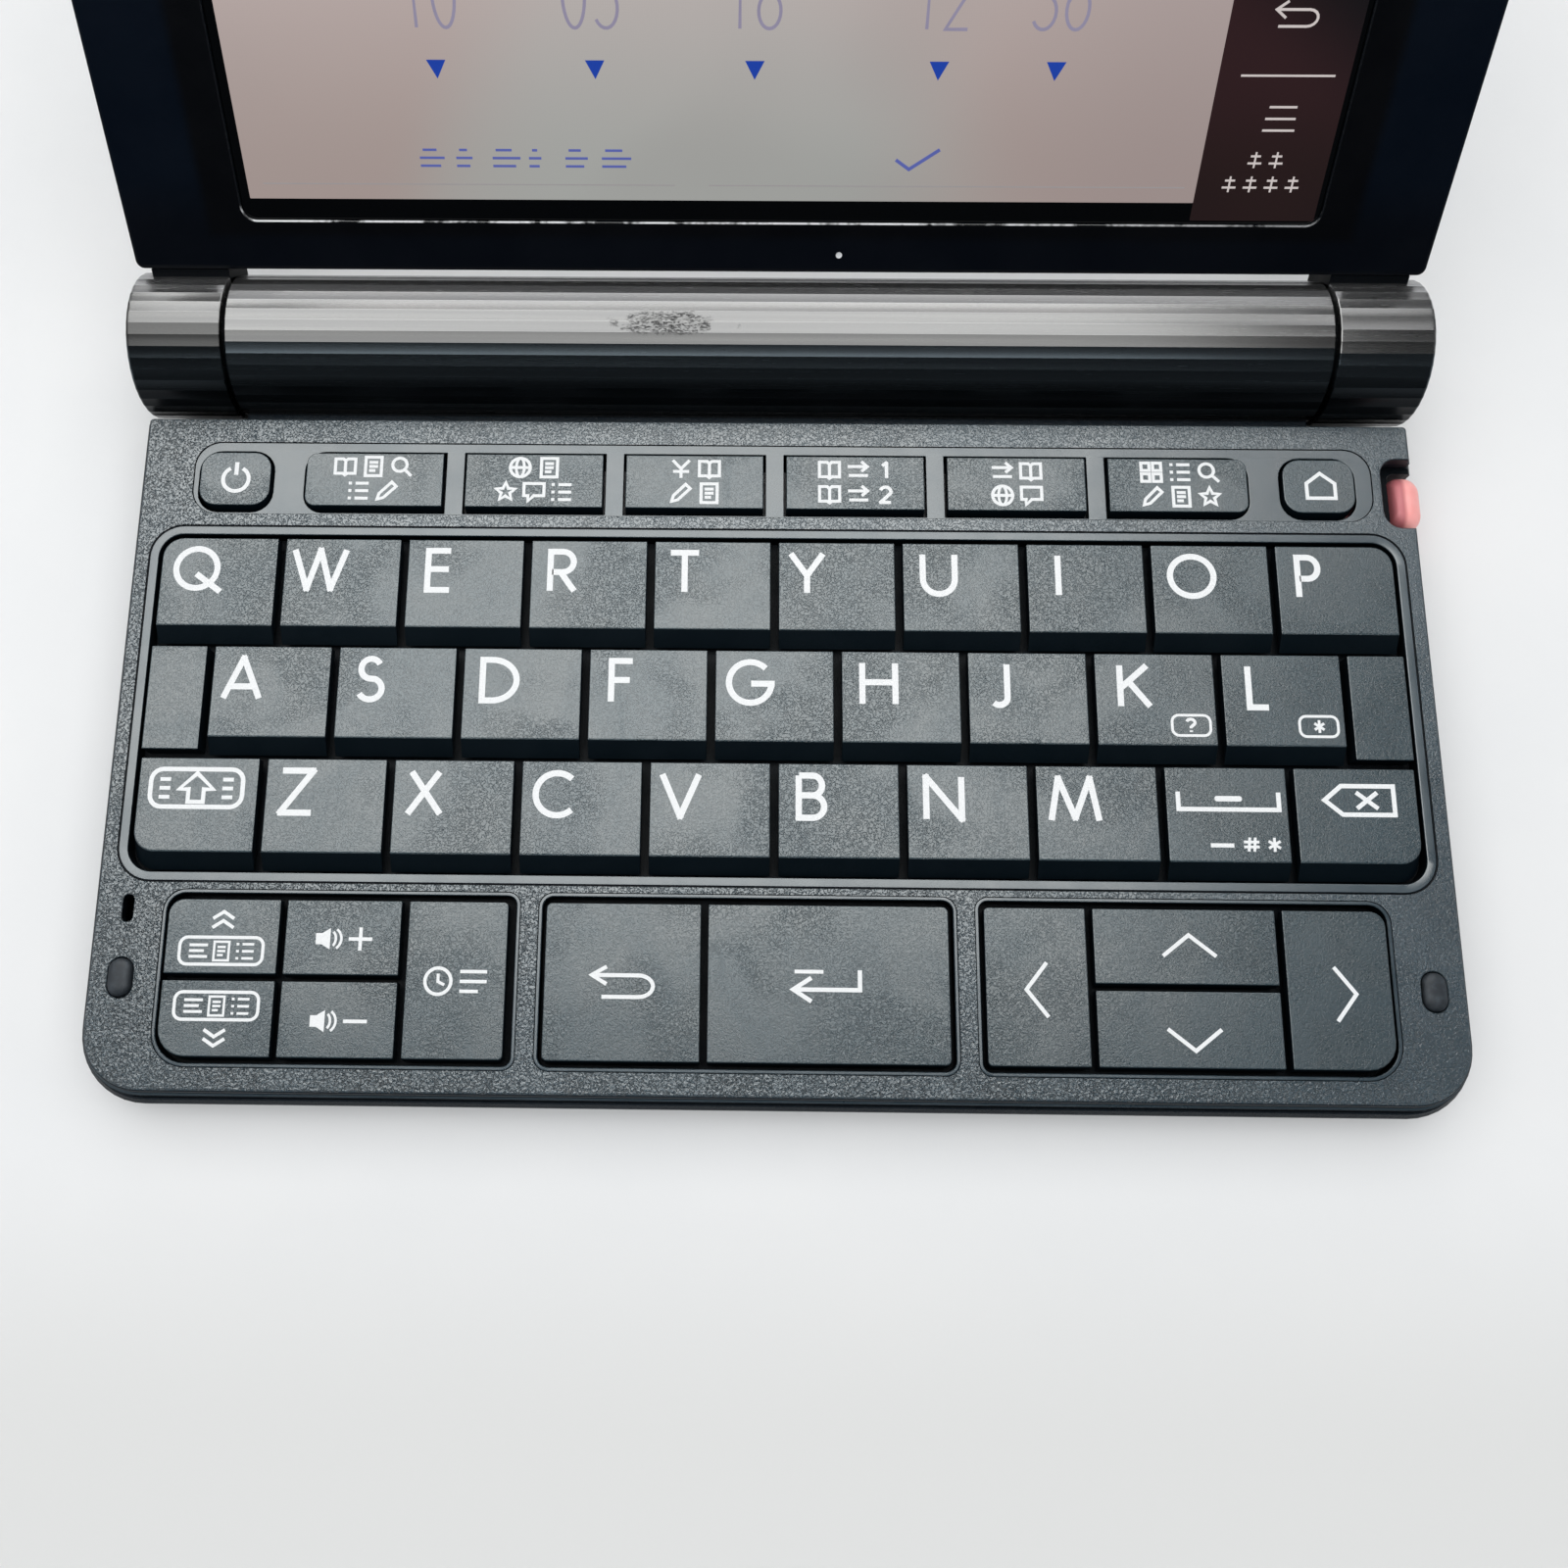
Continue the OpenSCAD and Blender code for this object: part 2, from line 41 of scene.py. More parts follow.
AY, AZ, OPEN = 13.95, 8.72, 127.8
TOP, KTOP = 8.0, 8.35
LID = Matrix.Translation((0, AY * MM, AZ * MM)) @ Matrix.Rotation(radians(-OPEN), 4, "X")

# ------------------------------------------------------------------ camera, lights, floor

def camera():
    th, yaw, roll = radians(76.35), radians(2.91), radians(-2.29)
    fwd = Vector((0, cos(th), -sin(th))); right = Vector((1, 0, 0)); up = Vector((0, sin(th), cos(th)))
    rz = Matrix.Rotation(yaw, 3, "Z")
    right, up, fwd = rz @ right, rz @ up, rz @ fwd
    r2 = right * cos(roll) + up * sin(roll)
    u2 = -right * sin(roll) + up * cos(roll)
    c = bpy.data.cameras.new("view"); o = bpy.data.objects.new("view", c)
    bpy.context.scene.collection.objects.link(o)
    m = Matrix((r2, u2, -fwd)).transposed().to_4x4()
    m.translation = Vector((-5.078, -72.285, 167.441)) * MM
    o.matrix_world = m
    c.sensor_width = 36; c.lens = 33.75
    c.shift_x = 74.3 / 1600; c.shift_y = -44.4 / 1600
    c.clip_start = 0.005; c.clip_end = 20
    bpy.context.scene.camera = o

def area(name, loc, look, sx, sy, radiance, kind="both", col=(1, 1, 1)):
    l = bpy.data.lights.new(name, "AREA"); l.shape = "RECTANGLE"; l.size = sx; l.size_y = sy
    l.energy = radiance * pi * sx * sy; l.color = col
    o = bpy.data.objects.new(name, l); bpy.context.scene.collection.objects.link(o)
    o.location = loc
    o.rotation_euler = (Vector(look) - Vector(loc)).to_track_quat("-Z", "Y").to_euler()
    o.visible_camera = False
    if kind == "gloss": o.visible_diffuse = False
    if kind == "fill": o.visible_glossy = False
    return o

camera()
# the sheen panel stands low over the keyboard and reaches back over the lid; the fills even out the floor
area("sheen_panel", (-0.0460, 0.1235, 0.18), (-0.0460, 0.1235, 0), 0.298, 0.365, 4.6, "gloss", (1, 0.998, 0.965))
area("sheen_side", (0.152, 0.100, 0.18), (0.152, 0.100, 0), 0.080, 0.080, 2.9, "gloss", (1, 0.998, 0.98))
area("barrel_strip", (0, 0.0228, 0.02135), (0, 0.0228 - 0.07902, 0.02135 + 0.06129), 0.130, 0.0112, 1.1, "gloss")
area("ceiling", (-0.1, 0.1, 1.10), (-0.1, 0.1, 0), 2.4, 2.4, 1.48, "fill", (0.985, 0.995, 1.0))
area("front_fill", (0.0, -1.1, 0.55), (0, 0, 0), 1.6, 0.6, 0.8, "fill")
area("rear_fill", (0.0, 0.30, 0.05), (0, 0.03, 0.0), 0.20, 0.06, 6.0, "fill")
area("gap_fill", (0, 0.036, 0.012), (0, 0.027, 0), 0.128, 0.012, 1.1, "fill")
area("left_panel", (-1.1, -0.15, 0.45), (0, 0, 0), 0.7, 0.7, 1.0)
area("right_panel", (1.15, -0.05, 0.50), (0, 0, 0), 0.7, 0.7, 0.9)
area("back_panel", (0.0, 1.35, 0.45), (0, 0, 0), 1.6, 0.6, 0.9)
w = bpy.data.worlds.new("room"); bpy.context.scene.world = w; w.use_nodes = True
w.node_tree.nodes["Background"].inputs[0].default_value = (0.9, 0.96, 1.0, 1)
w.node_tree.nodes["Background"].inputs[1].default_value = 0.035
bpy.context.scene.view_settings.view_transform = "Standard"
bpy.context.scene.view_settings.look = "None"

# ------------------------------------------------------------------ materials

class Mat:
    """A node material on one Principled shader. Texture lengths are in millimetres."""
    def __init__(s, name, base, rough=0.5, **kw):
        s.m = bpy.data.materials.new(name); s.m.use_nodes = True
        s.nt = s.m.node_tree; s.b = s.nt.nodes["Principled BSDF"]
        s.set("Base Color", (*base, 1)); s.set("Roughness", rough)
        for k, v in kw.items():
            s.set(k.replace("_", " ").title().replace("Ior", "IOR"), v)
        tc = s.nt.nodes.new("ShaderNodeTexCoord")
        mp = s.nt.nodes.new("ShaderNodeMapping"); mp.inputs["Scale"].default_value = (1000, 1000, 1000)
        s.nt.links.new(tc.outputs["Object"], mp.inputs["Vector"])
        s.co = mp.outputs["Vector"]; s.norm = None
    def set(s, k, v):
        s.b.inputs[k].default_value = v
        return s
    def n(s, kind, ins=None, **attrs):
        nd = s.nt.nodes.new(kind)
        for k, v in attrs.items(): setattr(nd, k, v)
        for k, v in (ins or {}).items():
            if isinstance(v, bpy.types.NodeSocket): s.nt.links.new(v, nd.inputs[k])
            else: nd.inputs[k].default_value = v
        return nd
    def to(s, sock, k): s.nt.links.new(sock, s.b.inputs[k])
    def stretch(s, x, y, z, rot=(0, 0, 0), off=(0, 0, 0)):
        return s.n("ShaderNodeMapping", {"Vector": s.co, "Scale": (x, y, z), "Rotation": rot, "Location": off}).outputs[0]
    def noise(s, scale, detail=2.0, rough=0.5, dist=0.0, vec=None):
        return s.n("ShaderNodeTexNoise", {"Vector": vec or s.co, "Scale": scale, "Detail": detail, "Roughness": rough, "Distortion": dist}).outputs["Fac"]
    def voro(s, scale, feature="F1", vec=None, rnd=1.0):
        return s.n("ShaderNodeTexVoronoi", {"Vector": vec or s.co, "Scale": scale, "Randomness": rnd}, feature=feature).outputs["Distance"]
    def math(s, op, a, b=0.0, c=0.0, clamp=False):
        return s.n("ShaderNodeMath", {0: a, 1: b, 2: c}, operation=op, use_clamp=clamp).outputs[0]
    def span(s, v, a, b, lo=0.0, hi=1.0):
        return s.n("ShaderNodeMapRange", {"Value": v, "From Min": a, "From Max": b, "To Min": lo, "To Max": hi}, interpolation_type="SMOOTHSTEP").outputs[0]
    def ramp(s, fac, stops):
        nd = s.n("ShaderNodeValToRGB", {"Fac": fac}); el = nd.color_ramp.elements
        while len(el) < len(stops): el.new(0.5)
        for e, (p, c) in zip(el, stops): e.position = p; e.color = (*c, 1)
        return nd.outputs["Color"]
    def mix(s, fac, a, b):
        nd = s.n("ShaderNodeMix", {}, data_type="RGBA")
        for i, v in ((0, fac), (6, a), (7, b)):
            if isinstance(v, bpy.types.NodeSocket): s.nt.links.new(v, nd.inputs[i])
            else: nd.inputs[i].default_value = v if i == 0 else (*v, 1)
        return nd.outputs[2]
    def bump(s, height, depth_mm, strength=1.0):
        ins = {"Height": height, "Distance": depth_mm * MM, "Strength": strength}
        if s.norm: ins["Normal"] = s.norm
        s.norm = s.n("ShaderNodeBump", ins).outputs[0]
        s.to(s.norm, "Normal")
        return s
    def xyz(s):
        o = s.n("ShaderNodeSeparateXYZ", {0: s.co}).outputs
        return o[0], o[1], o[2]

def wrinkle(m, size):
    """leather-like moulded grain: short creases between soft cells, 0 in a crease"""
    warp = m.n("ShaderNodeTexNoise", {"Vector": m.co, "Scale": 1.3 / size, "Detail": 2.0}).outputs["Color"]
    v = m.n("ShaderNodeVectorMath", {0: warp, 1: (0.5, 0.5, 0.5)}, operation="SUBTRACT").outputs[0]
    v = m.n("ShaderNodeVectorMath", {0: v, "Scale": size * 1.1}, operation="SCALE").outputs[0]
    v = m.n("ShaderNodeVectorMath", {0: m.co, 1: v}, operation="ADD").outputs[0]
    a = m.noise(0.9 / size, 1.5, 0.5, 0.3, v)
    r = m.math("ABSOLUTE", m.math("SUBTRACT", a, 0.5))
    r = m.span(r, 0.0, 0.065)
    c = m.span(m.voro(1.05 / size, "SMOOTH_F1", v), 0.1, 0.75, 1.0, 0.0)
    return m.math("MULTIPLY_ADD", r, 0.75, m.math("MULTIPLY", c, 0.25))

def plastic_grain(name, base, dark, rough, size, depth, lo=0.35, hi=1.0, spec=0.5, even=False, ior=1.5, crease=0.0):
    m = Mat(name, base, rough, specular_ior_level=spec, ior=ior)
    x, y, z = m.xyz()
    g = wrinkle(m, size)
    patch = m.noise(0.035, 2.0)
    if even: k = m.span(patch, 0.3, 0.7, lo, hi)
    else:  # stronger towards the front and the left
        t = m.math("MULTIPLY_ADD", x, -0.0042, m.math("MULTIPLY", y, -0.0075))
        t = m.math("ADD", t, m.math("MULTIPLY", m.math("SUBTRACT", patch, 0.5), 0.9))
        k = m.span(t, -0.1, 0.7, lo, hi)
    m.bump(g, depth, k)
    m.bump(m.noise(9.0, 2.0, 0.6), depth * 0.25, 0.6)
    # painted shade: the grain's creases are darkened towards the dark colour, scaled by k
    tone = m.mix(m.math("MULTIPLY", m.math("SUBTRACT", 1.0, g), k), base, dark)
    cloud = m.span(m.noise(0.09, 3.0, 0.6), 0.3, 0.7, 0.0, 1.0)
    m.to(m.mix(m.math("MULTIPLY", cloud, 0.35), tone, tuple(c * 1.35 for c in base)), "Base Color")
    rr = m.span(m.noise(0.16, 4.0, 0.65), 0.3, 0.7, rough - 0.05, rough + 0.06)
    if crease: rr = m.math("MULTIPLY_ADD", m.math("MULTIPLY", m.math("SUBTRACT", 1.0, g), k), crease, rr)
    m.to(rr, "Roughness")
    return m

deck_grain = plastic_grain("deck_grain", (0.024, 0.041, 0.054), (0.003, 0.007, 0.010), 0.31, 0.34, 0.115, 0.5, 1.0, 1.0, ior=1.58, crease=0.14)
deck_band = plastic_grain("deck_band", (0.020, 0.034, 0.045), (0.016, 0.028, 0.037), 0.32, 0.25, 0.004, 0.3, 0.8, 0.80, True, ior=1.58)
# painted shade: a darker copy of the deck plastic for its rounded edge and outer walls
edge_shade = plastic_grain("edge_shade", (0.0045, 0.0085, 0.013), (0.003, 0.005, 0.008), 0.40, 0.40, 0.02, 0.5, 1.0, 0.22, True)
# painted shade: near black for the walls and floors of wells and recesses and the hidden insides
recess_shade = plastic_grain("recess_shade", (0.0014, 0.0024, 0.0036), (0.0010, 0.0016, 0.0024), 0.5, 0.3, 0.01, 0.3, 0.8, 0.08, True)
case_grain = plastic_grain("case_grain", (0.0055, 0.0095, 0.014), (0.0025, 0.0045, 0.007), 0.36, 0.40, 0.03, 0.5, 1.0, 0.28, True)
joint_black = plastic_grain("joint_black", (0.0010, 0.0016, 0.0026), (0.0008, 0.0011, 0.0016), 0.5, 0.3, 0.006, 0.3, 0.8, 0.06, True)

def key_top_mat():
    m = Mat("key_top", (0.019, 0.036, 0.046), 0.36, specular_ior_level=0.90)
    g = wrinkle(m, 0.34)
    patch = m.span(m.noise(0.085, 2.0, 0.5, 0.4), 0.42, 0.64, 0.35, 1.0)
    m.bump(g, 0.036, patch)
    m.bump(m.noise(4.0, 3.0, 0.65), 0.020, 0.8)
    # finger polish, faint smears and a wiped streak or two
    pol = m.span(m.noise(0.11, 3.0, 0.6, 0.6, m.stretch(1, 0.7, 1, off=(11, 3, 0))), 0.35, 0.68)
    wipe = m.span(m.noise(0.5, 3.0, 0.55, 0.3, m.stretch(0.9, 0.12, 1, off=(4, 9, 0))), 0.62, 0.80)
    r = m.math("MULTIPLY_ADD", pol, -0.07, m.span(m.noise(2.5, 3.0, 0.6), 0.3, 0.7, 0.30, 0.37))
    r = m.math("MULTIPLY_ADD", m.math("SUBTRACT", 1.0, g), 0.12, r)
    m.to(m.math("MULTIPLY_ADD", wipe, 0.09, r), "Roughness")
    # painted shade: the grain's creases are darker
    c = m.mix(g, (0.009, 0.019, 0.026), (0.024, 0.042, 0.053))
    m.to(m.mix(m.math("MULTIPLY", pol, 0.5), c, (0.030, 0.043, 0.050)), "Base Color")
    return m
key_top = key_top_mat()
# painted shade: a much darker copy of the key plastic for the key sides
key_side_shade = plastic_grain("key_side_shade", (0.0016, 0.0040, 0.0062), (0.0010, 0.0028, 0.0044), 0.42, 0.3, 0.006, 0.3, 0.8, 0.11, True)

def print_mat(name, col, rough=0.5, spec=0.3):
    m = Mat(name, col, rough, specular_ior_level=spec)
    d = m.span(m.noise(6.0, 3.0, 0.7), 0.28, 0.5)
    m.to(m.mix(d, tuple(c * 0.86 for c in col), col), "Base Color")
    m.bump(m.noise(9.0, 2.0), 0.003, 0.5)
    return m
legend = print_mat("legend_print", (0.83, 0.845, 0.855))

def metal_mat(name, turn, left, right=None):
    """darkened metal whose flutes each have a tone of their own and a painted highlight along their edges; painted
    shade by facet angle darkens the side over the deck, with a bluish painted reflection there, and painted light
    brightens the rear
    """
    m = Mat(name, (0.117, 0.118, 0.1205), 0.28, metallic=0.95)
    x, y, z = m.xyz()
    a = m.math("ARCTAN2", m.math("SUBTRACT", z, AZ), m.math("SUBTRACT", y, AY))
    a = m.math("MODULO", m.math("ADD", m.math("MULTIPLY", a, 180 / pi), 360.0), 360.0)
    k = m.math("DIVIDE", m.math("SUBTRACT", a, turn), 9.0)
    own = m.n("ShaderNodeTexWhiteNoise", {"W": m.math("FLOOR", k)}, noise_dimensions="1D").outputs["Value"]
    u = m.math("ABSOLUTE", m.math("SUBTRACT", m.math("FRACT", k), 0.5))
    # painted highlight: a lighter line along both edges of every flute
    edge = m.span(u, 0.455, 0.49)
    tone = m.math("MULTIPLY_ADD", own, 0.22, m.math("MULTIPLY_ADD", edge, 0.30, 0.87))
    mid = m.math("DIVIDE", m.math("MULTIPLY_ADD", m.math("ADD", m.math("FLOOR", k), 0.5), 9.0, turn), 360.0)
    # painted light and shade: a brightness factor for each facet from its angle, tinted bluish on the side over the
    # deck as a painted reflection
    def painted_light_ramp(stops):
        return m.ramp(mid, [(t / 360, tuple(f / 4 * q for q in ((0.80, 1.0, 1.16) if 115 < t < 200 else (1, 1, 1)))) for t, f in stops])
    painted_facet_light = painted_light_ramp(left)
    if right: painted_facet_light = m.mix(m.math("GREATER_THAN", x, 0.0), painted_facet_light, painted_light_ramp(right))
    streak = m.noise(1.0, 2.0, 0.5, 0.0, m.stretch(0.012, 1.3, 1.3))
    fine = m.noise(1.0, 2.0, 0.6, 0.0, m.stretch(0.25, 9, 9))
    speck = m.noise(9.0, 2.0, 0.7)
    r = m.math("MULTIPLY_ADD", streak, 0.04, m.math("MULTIPLY_ADD", fine, 0.04, 0.225))
    col = m.mix(m.span(streak, 0.3, 0.7), (0.107, 0.108, 0.111), (0.126, 0.127, 0.129))
    col = m.mix(m.math("MULTIPLY", m.span(speck, 0.60, 0.76), 0.30), col, (0.19, 0.19, 0.19))
    col = m.n("ShaderNodeVectorMath", {0: col, "Scale": m.math("MULTIPLY", tone, 4.0)}, operation="SCALE").outputs[0]
    col = m.n("ShaderNodeVectorMath", {0: col, 1: painted_facet_light}, operation="MULTIPLY").outputs[0]
    m.bump(m.noise(1.0, 1.5, 0.5, 0.0, m.stretch(0.05, 2.0, 2.0)), 0.0012, 0.5)
    m.bump(speck, 0.003, 0.4)
    if not right:  # a rubbed patch with small nicks on the crown of the barrel
        dx = m.math("DIVIDE", m.math("ADD", x, 12.3), 6.2)
        dy = m.math("DIVIDE", m.math("SUBTRACT", y, 12.9), 1.5)
        wob = m.math("MULTIPLY", m.math("SUBTRACT", m.noise(0.6, 3.0), 0.5), 1.6)
        d = m.math("ADD", m.math("SQRT", m.math("ADD", m.math("MULTIPLY", dx, dx), m.math("MULTIPLY", dy, dy))), wob)
        up = m.math("GREATER_THAN", z, 12.0)
        mask = m.math("MULTIPLY", m.span(d, 0.55, 1.05, 1.0, 0.0), up)
        nick = m.math("MULTIPLY", m.span(m.noise(2.6, 4.0, 0.7, 1.2, m.stretch(0.6, 1.6, 1)), 0.52, 0.60), mask)
        col = m.mix(m.math("MULTIPLY", nick, 0.7), col, (0.035, 0.035, 0.037))
        r = m.math("ADD", r, m.math("MULTIPLY", mask, 0.12))
        m.bump(m.math("SUBTRACT", 1.0, nick), 0.05, 0.9)
    m.to(col, "Base Color"); m.to(r, "Roughness")
    return m
# painted light and shade per facet as (angle, factor): dark on the side over the deck and just below it, lighter on the
# rear; the right end cap has its own table
under = [(200, 0.2), (216, 1.0), (340, 1.0), (358, 1.9)]
barrel_metal = metal_mat("barrel_metal", 6.2, [(20, 1.9), (55.7, 2.2), (64.7, 2.9), (73.7, 1.85), (82.7, 1.42), (91.7, 1.06), (100.7, 1.0), (109.7, 0.6), (118.7, 0.52), (127.7, 0.63),
    (136.7, 0.66), (145.7, 0.27), (154.7, 0.12), (163.7, 0.085), (181.7, 0.085)] + under)
cap_metal = metal_mat("cap_metal", 1.1, [(20, 1.9), (50.6, 2.8), (59.6, 3.1), (68.6, 2.7), (77.6, 1.5), (86.6, 1.08), (95.6, 0.86), (104.6, 0.38), (113.6, 0.25), (122.6, 0.35), (131.6, 0.52),
    (140.6, 0.5), (149.6, 0.18), (158.6, 0.07), (180, 0.08)] + under,
    [(20, 1.9), (50.6, 2.9), (59.6, 3.1), (68.6, 2.8), (77.6, 2.2), (86.6, 1.4), (95.6, 1.0), (104.6, 1.3), (113.6, 1.1), (122.6, 0.7), (131.6, 0.75),
    (140.6, 0.4), (149.6, 0.155), (158.6, 0.07), (180, 0.08)] + under)

def lid_mat(name, k, spec, frame_shade):
    m = Mat(name, (0.0008 * k, 0.0030 * k, 0.0075 * k), 0.46, specular_ior_level=spec)
    sp = m.noise(8.0, 2.0, 0.7)
    m.bump(sp, 0.010, 0.6)
    m.bump(wrinkle(m, 0.22), 0.006, 0.5)
    c = m.mix(m.span(sp, 0.6, 0.8), (0.0006 * k, 0.0026 * k, 0.0068 * k), (0.0024 * k, 0.0052 * k, 0.0110 * k))
    c = m.mix(m.span(m.noise(0.05, 3.0), 0.35, 0.7, 0.0, 0.5), c, (0.0014 * k, 0.0040 * k, 0.0092 * k))
    if frame_shade:  # painted shade: the soft-sloped border round the window is painted near black as the shade on its slope; the bezel is also darker towards the hinge edge
        x, y, z = m.xyz()
        n = m.math("ADD", m.math("MULTIPLY", m.math("SUBTRACT", y, AY), -cos(radians(OPEN))), m.math("MULTIPLY", m.math("SUBTRACT", z, AZ), sin(radians(OPEN))))
        out = m.math("MAXIMUM", m.span(m.math("ABSOLUTE", x), 63.9, 65.3), m.math("MAXIMUM", m.span(n, 12.6, 13.9, 1.0, 0.0), m.span(n, 83.4, 84.4)))
        c = m.mix(m.math("MULTIPLY", m.span(n, 13.5, 21.0, 1.0, 0.0), 0.75), c, (0.0008, 0.0013, 0.0026))
        c = m.mix(out, (0.0006, 0.0009, 0.0016), c)
    m.to(c, "Base Color")
    m.to(m.span(m.noise(0.12, 3.0, 0.6), 0.3, 0.7, 0.42, 0.52), "Roughness")
    return m
lid_navy = lid_mat("lid_navy", 0.78, 0.06, True)
lid_cover = lid_mat("lid_cover", 1.6, 0.26, False)

def rim_mat():
    m = Mat("rim_gloss", (0.01, 0.011, 0.014), 0.12, specular_ior_level=0.9)
    x, y, z = m.xyz()
    # painted highlight: broken bright glints along the lower rim, fading away from the left of centre
    low = m.span(z, 21.3, 21.9, 1.0, 0.0)
    glint = m.span(m.noise(1.0, 3.0, 0.7, 0.0, m.stretch(0.28, 0.28, 0.28)), 0.40, 0.56)
    fade = m.span(m.math("ABSOLUTE", m.math("ADD", x, 22.0)), 34.0, 80.0, 1.0, 0.35)
    m.to(m.mix(m.math("MULTIPLY", m.math("MULTIPLY", glint, fade), low), (0.004, 0.005, 0.007), (0.75, 0.76, 0.78)), "Base Color")
    m.to(m.span(m.noise(1.2, 3.0, 0.7), 0.3, 0.7, 0.06, 0.24), "Roughness")
    m.bump(m.noise(3.0, 2.0), 0.01, 0.5)
    return m
rim_gloss = rim_mat()

def glass_mat():
    m = Mat("window_gloss", (0.0008, 0.0010, 0.0016), 0.05, specular_ior_level=0.4)
    m.to(m.span(m.noise(0.09, 4.0, 0.6, 0.5), 0.35, 0.75, 0.035, 0.11), "Roughness")
    m.to(m.mix(m.noise(0.04, 2.0), (0.0006, 0.0009, 0.0014), (0.0014, 0.0018, 0.0024)), "Base Color")
    return m
window_gloss = glass_mat()

def lcd_mat():
    m = Mat("lcd_picture", (0.05, 0.05, 0.05), 0.07, specular_ior_level=0.35)
    x, y, z = m.xyz()
    # painted reflection: grey-green in the middle, rosy to both sides, lighter towards the far edge, a little darker
    # towards the hinge and to the right
    wob = m.math("MULTIPLY", m.math("SUBTRACT", m.noise(0.020, 1.0, 0.4, 0.6), 0.5), 50.0)
    off = m.math("ABSOLUTE", m.math("ADD", m.math("ADD", x, 9.0), wob))
    rose_reflection = m.span(off, 12.0, 40.0)
    c = m.mix(rose_reflection, (0.345, 0.352, 0.336), (0.345, 0.282, 0.264))
    lift = m.span(z, 22.0, 50.0)
    c = m.mix(m.math("MULTIPLY", lift, 0.75), c, (0.54, 0.455, 0.44))
    c = m.mix(m.math("MULTIPLY", m.span(x, 14.0, 44.0), 0.35), c, (0.27, 0.215, 0.215))
    # painted reflection: soft dark blotches
    dark = m.span(m.noise(0.028, 1.0, 0.4, 0.4, m.stretch(1, 1, 1, off=(7, 2, 0))), 0.55, 0.75, 0.0, 0.22)
    c = m.mix(dark, c, (0.25, 0.23, 0.225))
    # rows and columns of the panel
    px = m.math("FRACT", m.math("MULTIPLY", x, 4.2)); row = m.math("FRACT", m.math("MULTIPLY", z, 5.3))
    grid = m.math("MINIMUM", m.span(px, 0.0, 0.22), m.span(row, 0.0, 0.22))
    c = m.mix(m.math("MULTIPLY", m.math("SUBTRACT", 1.0, grid), 0.07), c, (0.2, 0.19, 0.2))
    m.to(c, "Emission Color"); m.set("Emission Strength", 0.90)
    m.to(m.mix(0.85, c, (0.0, 0.0, 0.0)), "Base Color")
    return m
lcd_picture = lcd_mat()

def column_mat():
    m = Mat("icon_column", (0.006, 0.004, 0.004), 0.07, specular_ior_level=0.5)
    x, y, z = m.xyz()
    f = m.span(m.noise(0.05, 1.0, 0.4, 0.4), 0.35, 0.65)
    c = m.mix(f, (0.016, 0.0080, 0.0082), (0.012, 0.0066, 0.0072))
    c = m.mix(m.span(z, 24.0, 34.0), c, (0.0255, 0.0105, 0.0125))
    c = m.mix(m.span(m.math("MULTIPLY_ADD", x, 0.6, z), 64.0, 76.0), c, (0.0030, 0.0042, 0.0058))
    m.to(c, "Emission Color"); m.set("Emission Strength", 0.9)
    return m
icon_column = column_mat()

def glow(name, col, strength=1.0):
    m = Mat(name, tuple(c * 0.2 for c in col), 0.1, specular_ior_level=0.5)
    m.to(m.mix(m.noise(0.5, 2.0), tuple(c * 0.9 for c in col), tuple(min(1, c * 1.06) for c in col)), "Emission Color")
    m.set("Emission Strength", strength)
    return m
ui_blue = glow("ui_blue", (0.012, 0.045, 0.31))
ui_word = glow("ui_word", (0.085, 0.105, 0.33))
ui_pale = glow("ui_pale", (0.235, 0.215, 0.30))
ui_line = glow("ui_line", (0.27, 0.255, 0.26))
ui_white = glow("ui_white", (0.52, 0.47, 0.46))
ui_box = glow("ui_box", (0.48, 0.47, 0.47))

def rubber_mat():
    m = Mat("rubber", (0.012, 0.015, 0.019), 0.62, specular_ior_level=0.5)
    m.bump(m.noise(6.0, 3.0, 0.7), 0.02, 0.5)
    m.to(m.mix(m.span(m.noise(1.3, 4.0), 0.4, 0.75), (0.010, 0.0135, 0.018), (0.026, 0.033, 0.041)), "Base Color")
    return m
rubber = rubber_mat()

def pink_mat():
    m = Mat("stylus_pink", (0.96, 0.36, 0.34), 0.42, specular_ior_level=0.45, subsurface_weight=0.12)
    x, y, z = m.xyz()
    m.set("Subsurface Radius", (0.0012, 0.0004, 0.0004)); m.set("Subsurface Scale", 1.0)
    m.bump(m.noise(5.0, 3.0, 0.6), 0.010, 0.4)
    c = m.mix(m.span(m.noise(0.5, 3.0), 0.3, 0.7), (0.97, 0.385, 0.365), (1.0, 0.44, 0.42))
    # painted shade: the inner part of the head is darker, as the shade on its slanted inner face
    m.to(m.mix(m.span(x, 73.5, 74.15, 1.0, 0.0), c, (0.50, 0.150, 0.165)), "Base Color")
    m.to(m.span(m.noise(1.2, 3.0), 0.3, 0.7, 0.36, 0.50), "Roughness")
    return m
pink = pink_mat()

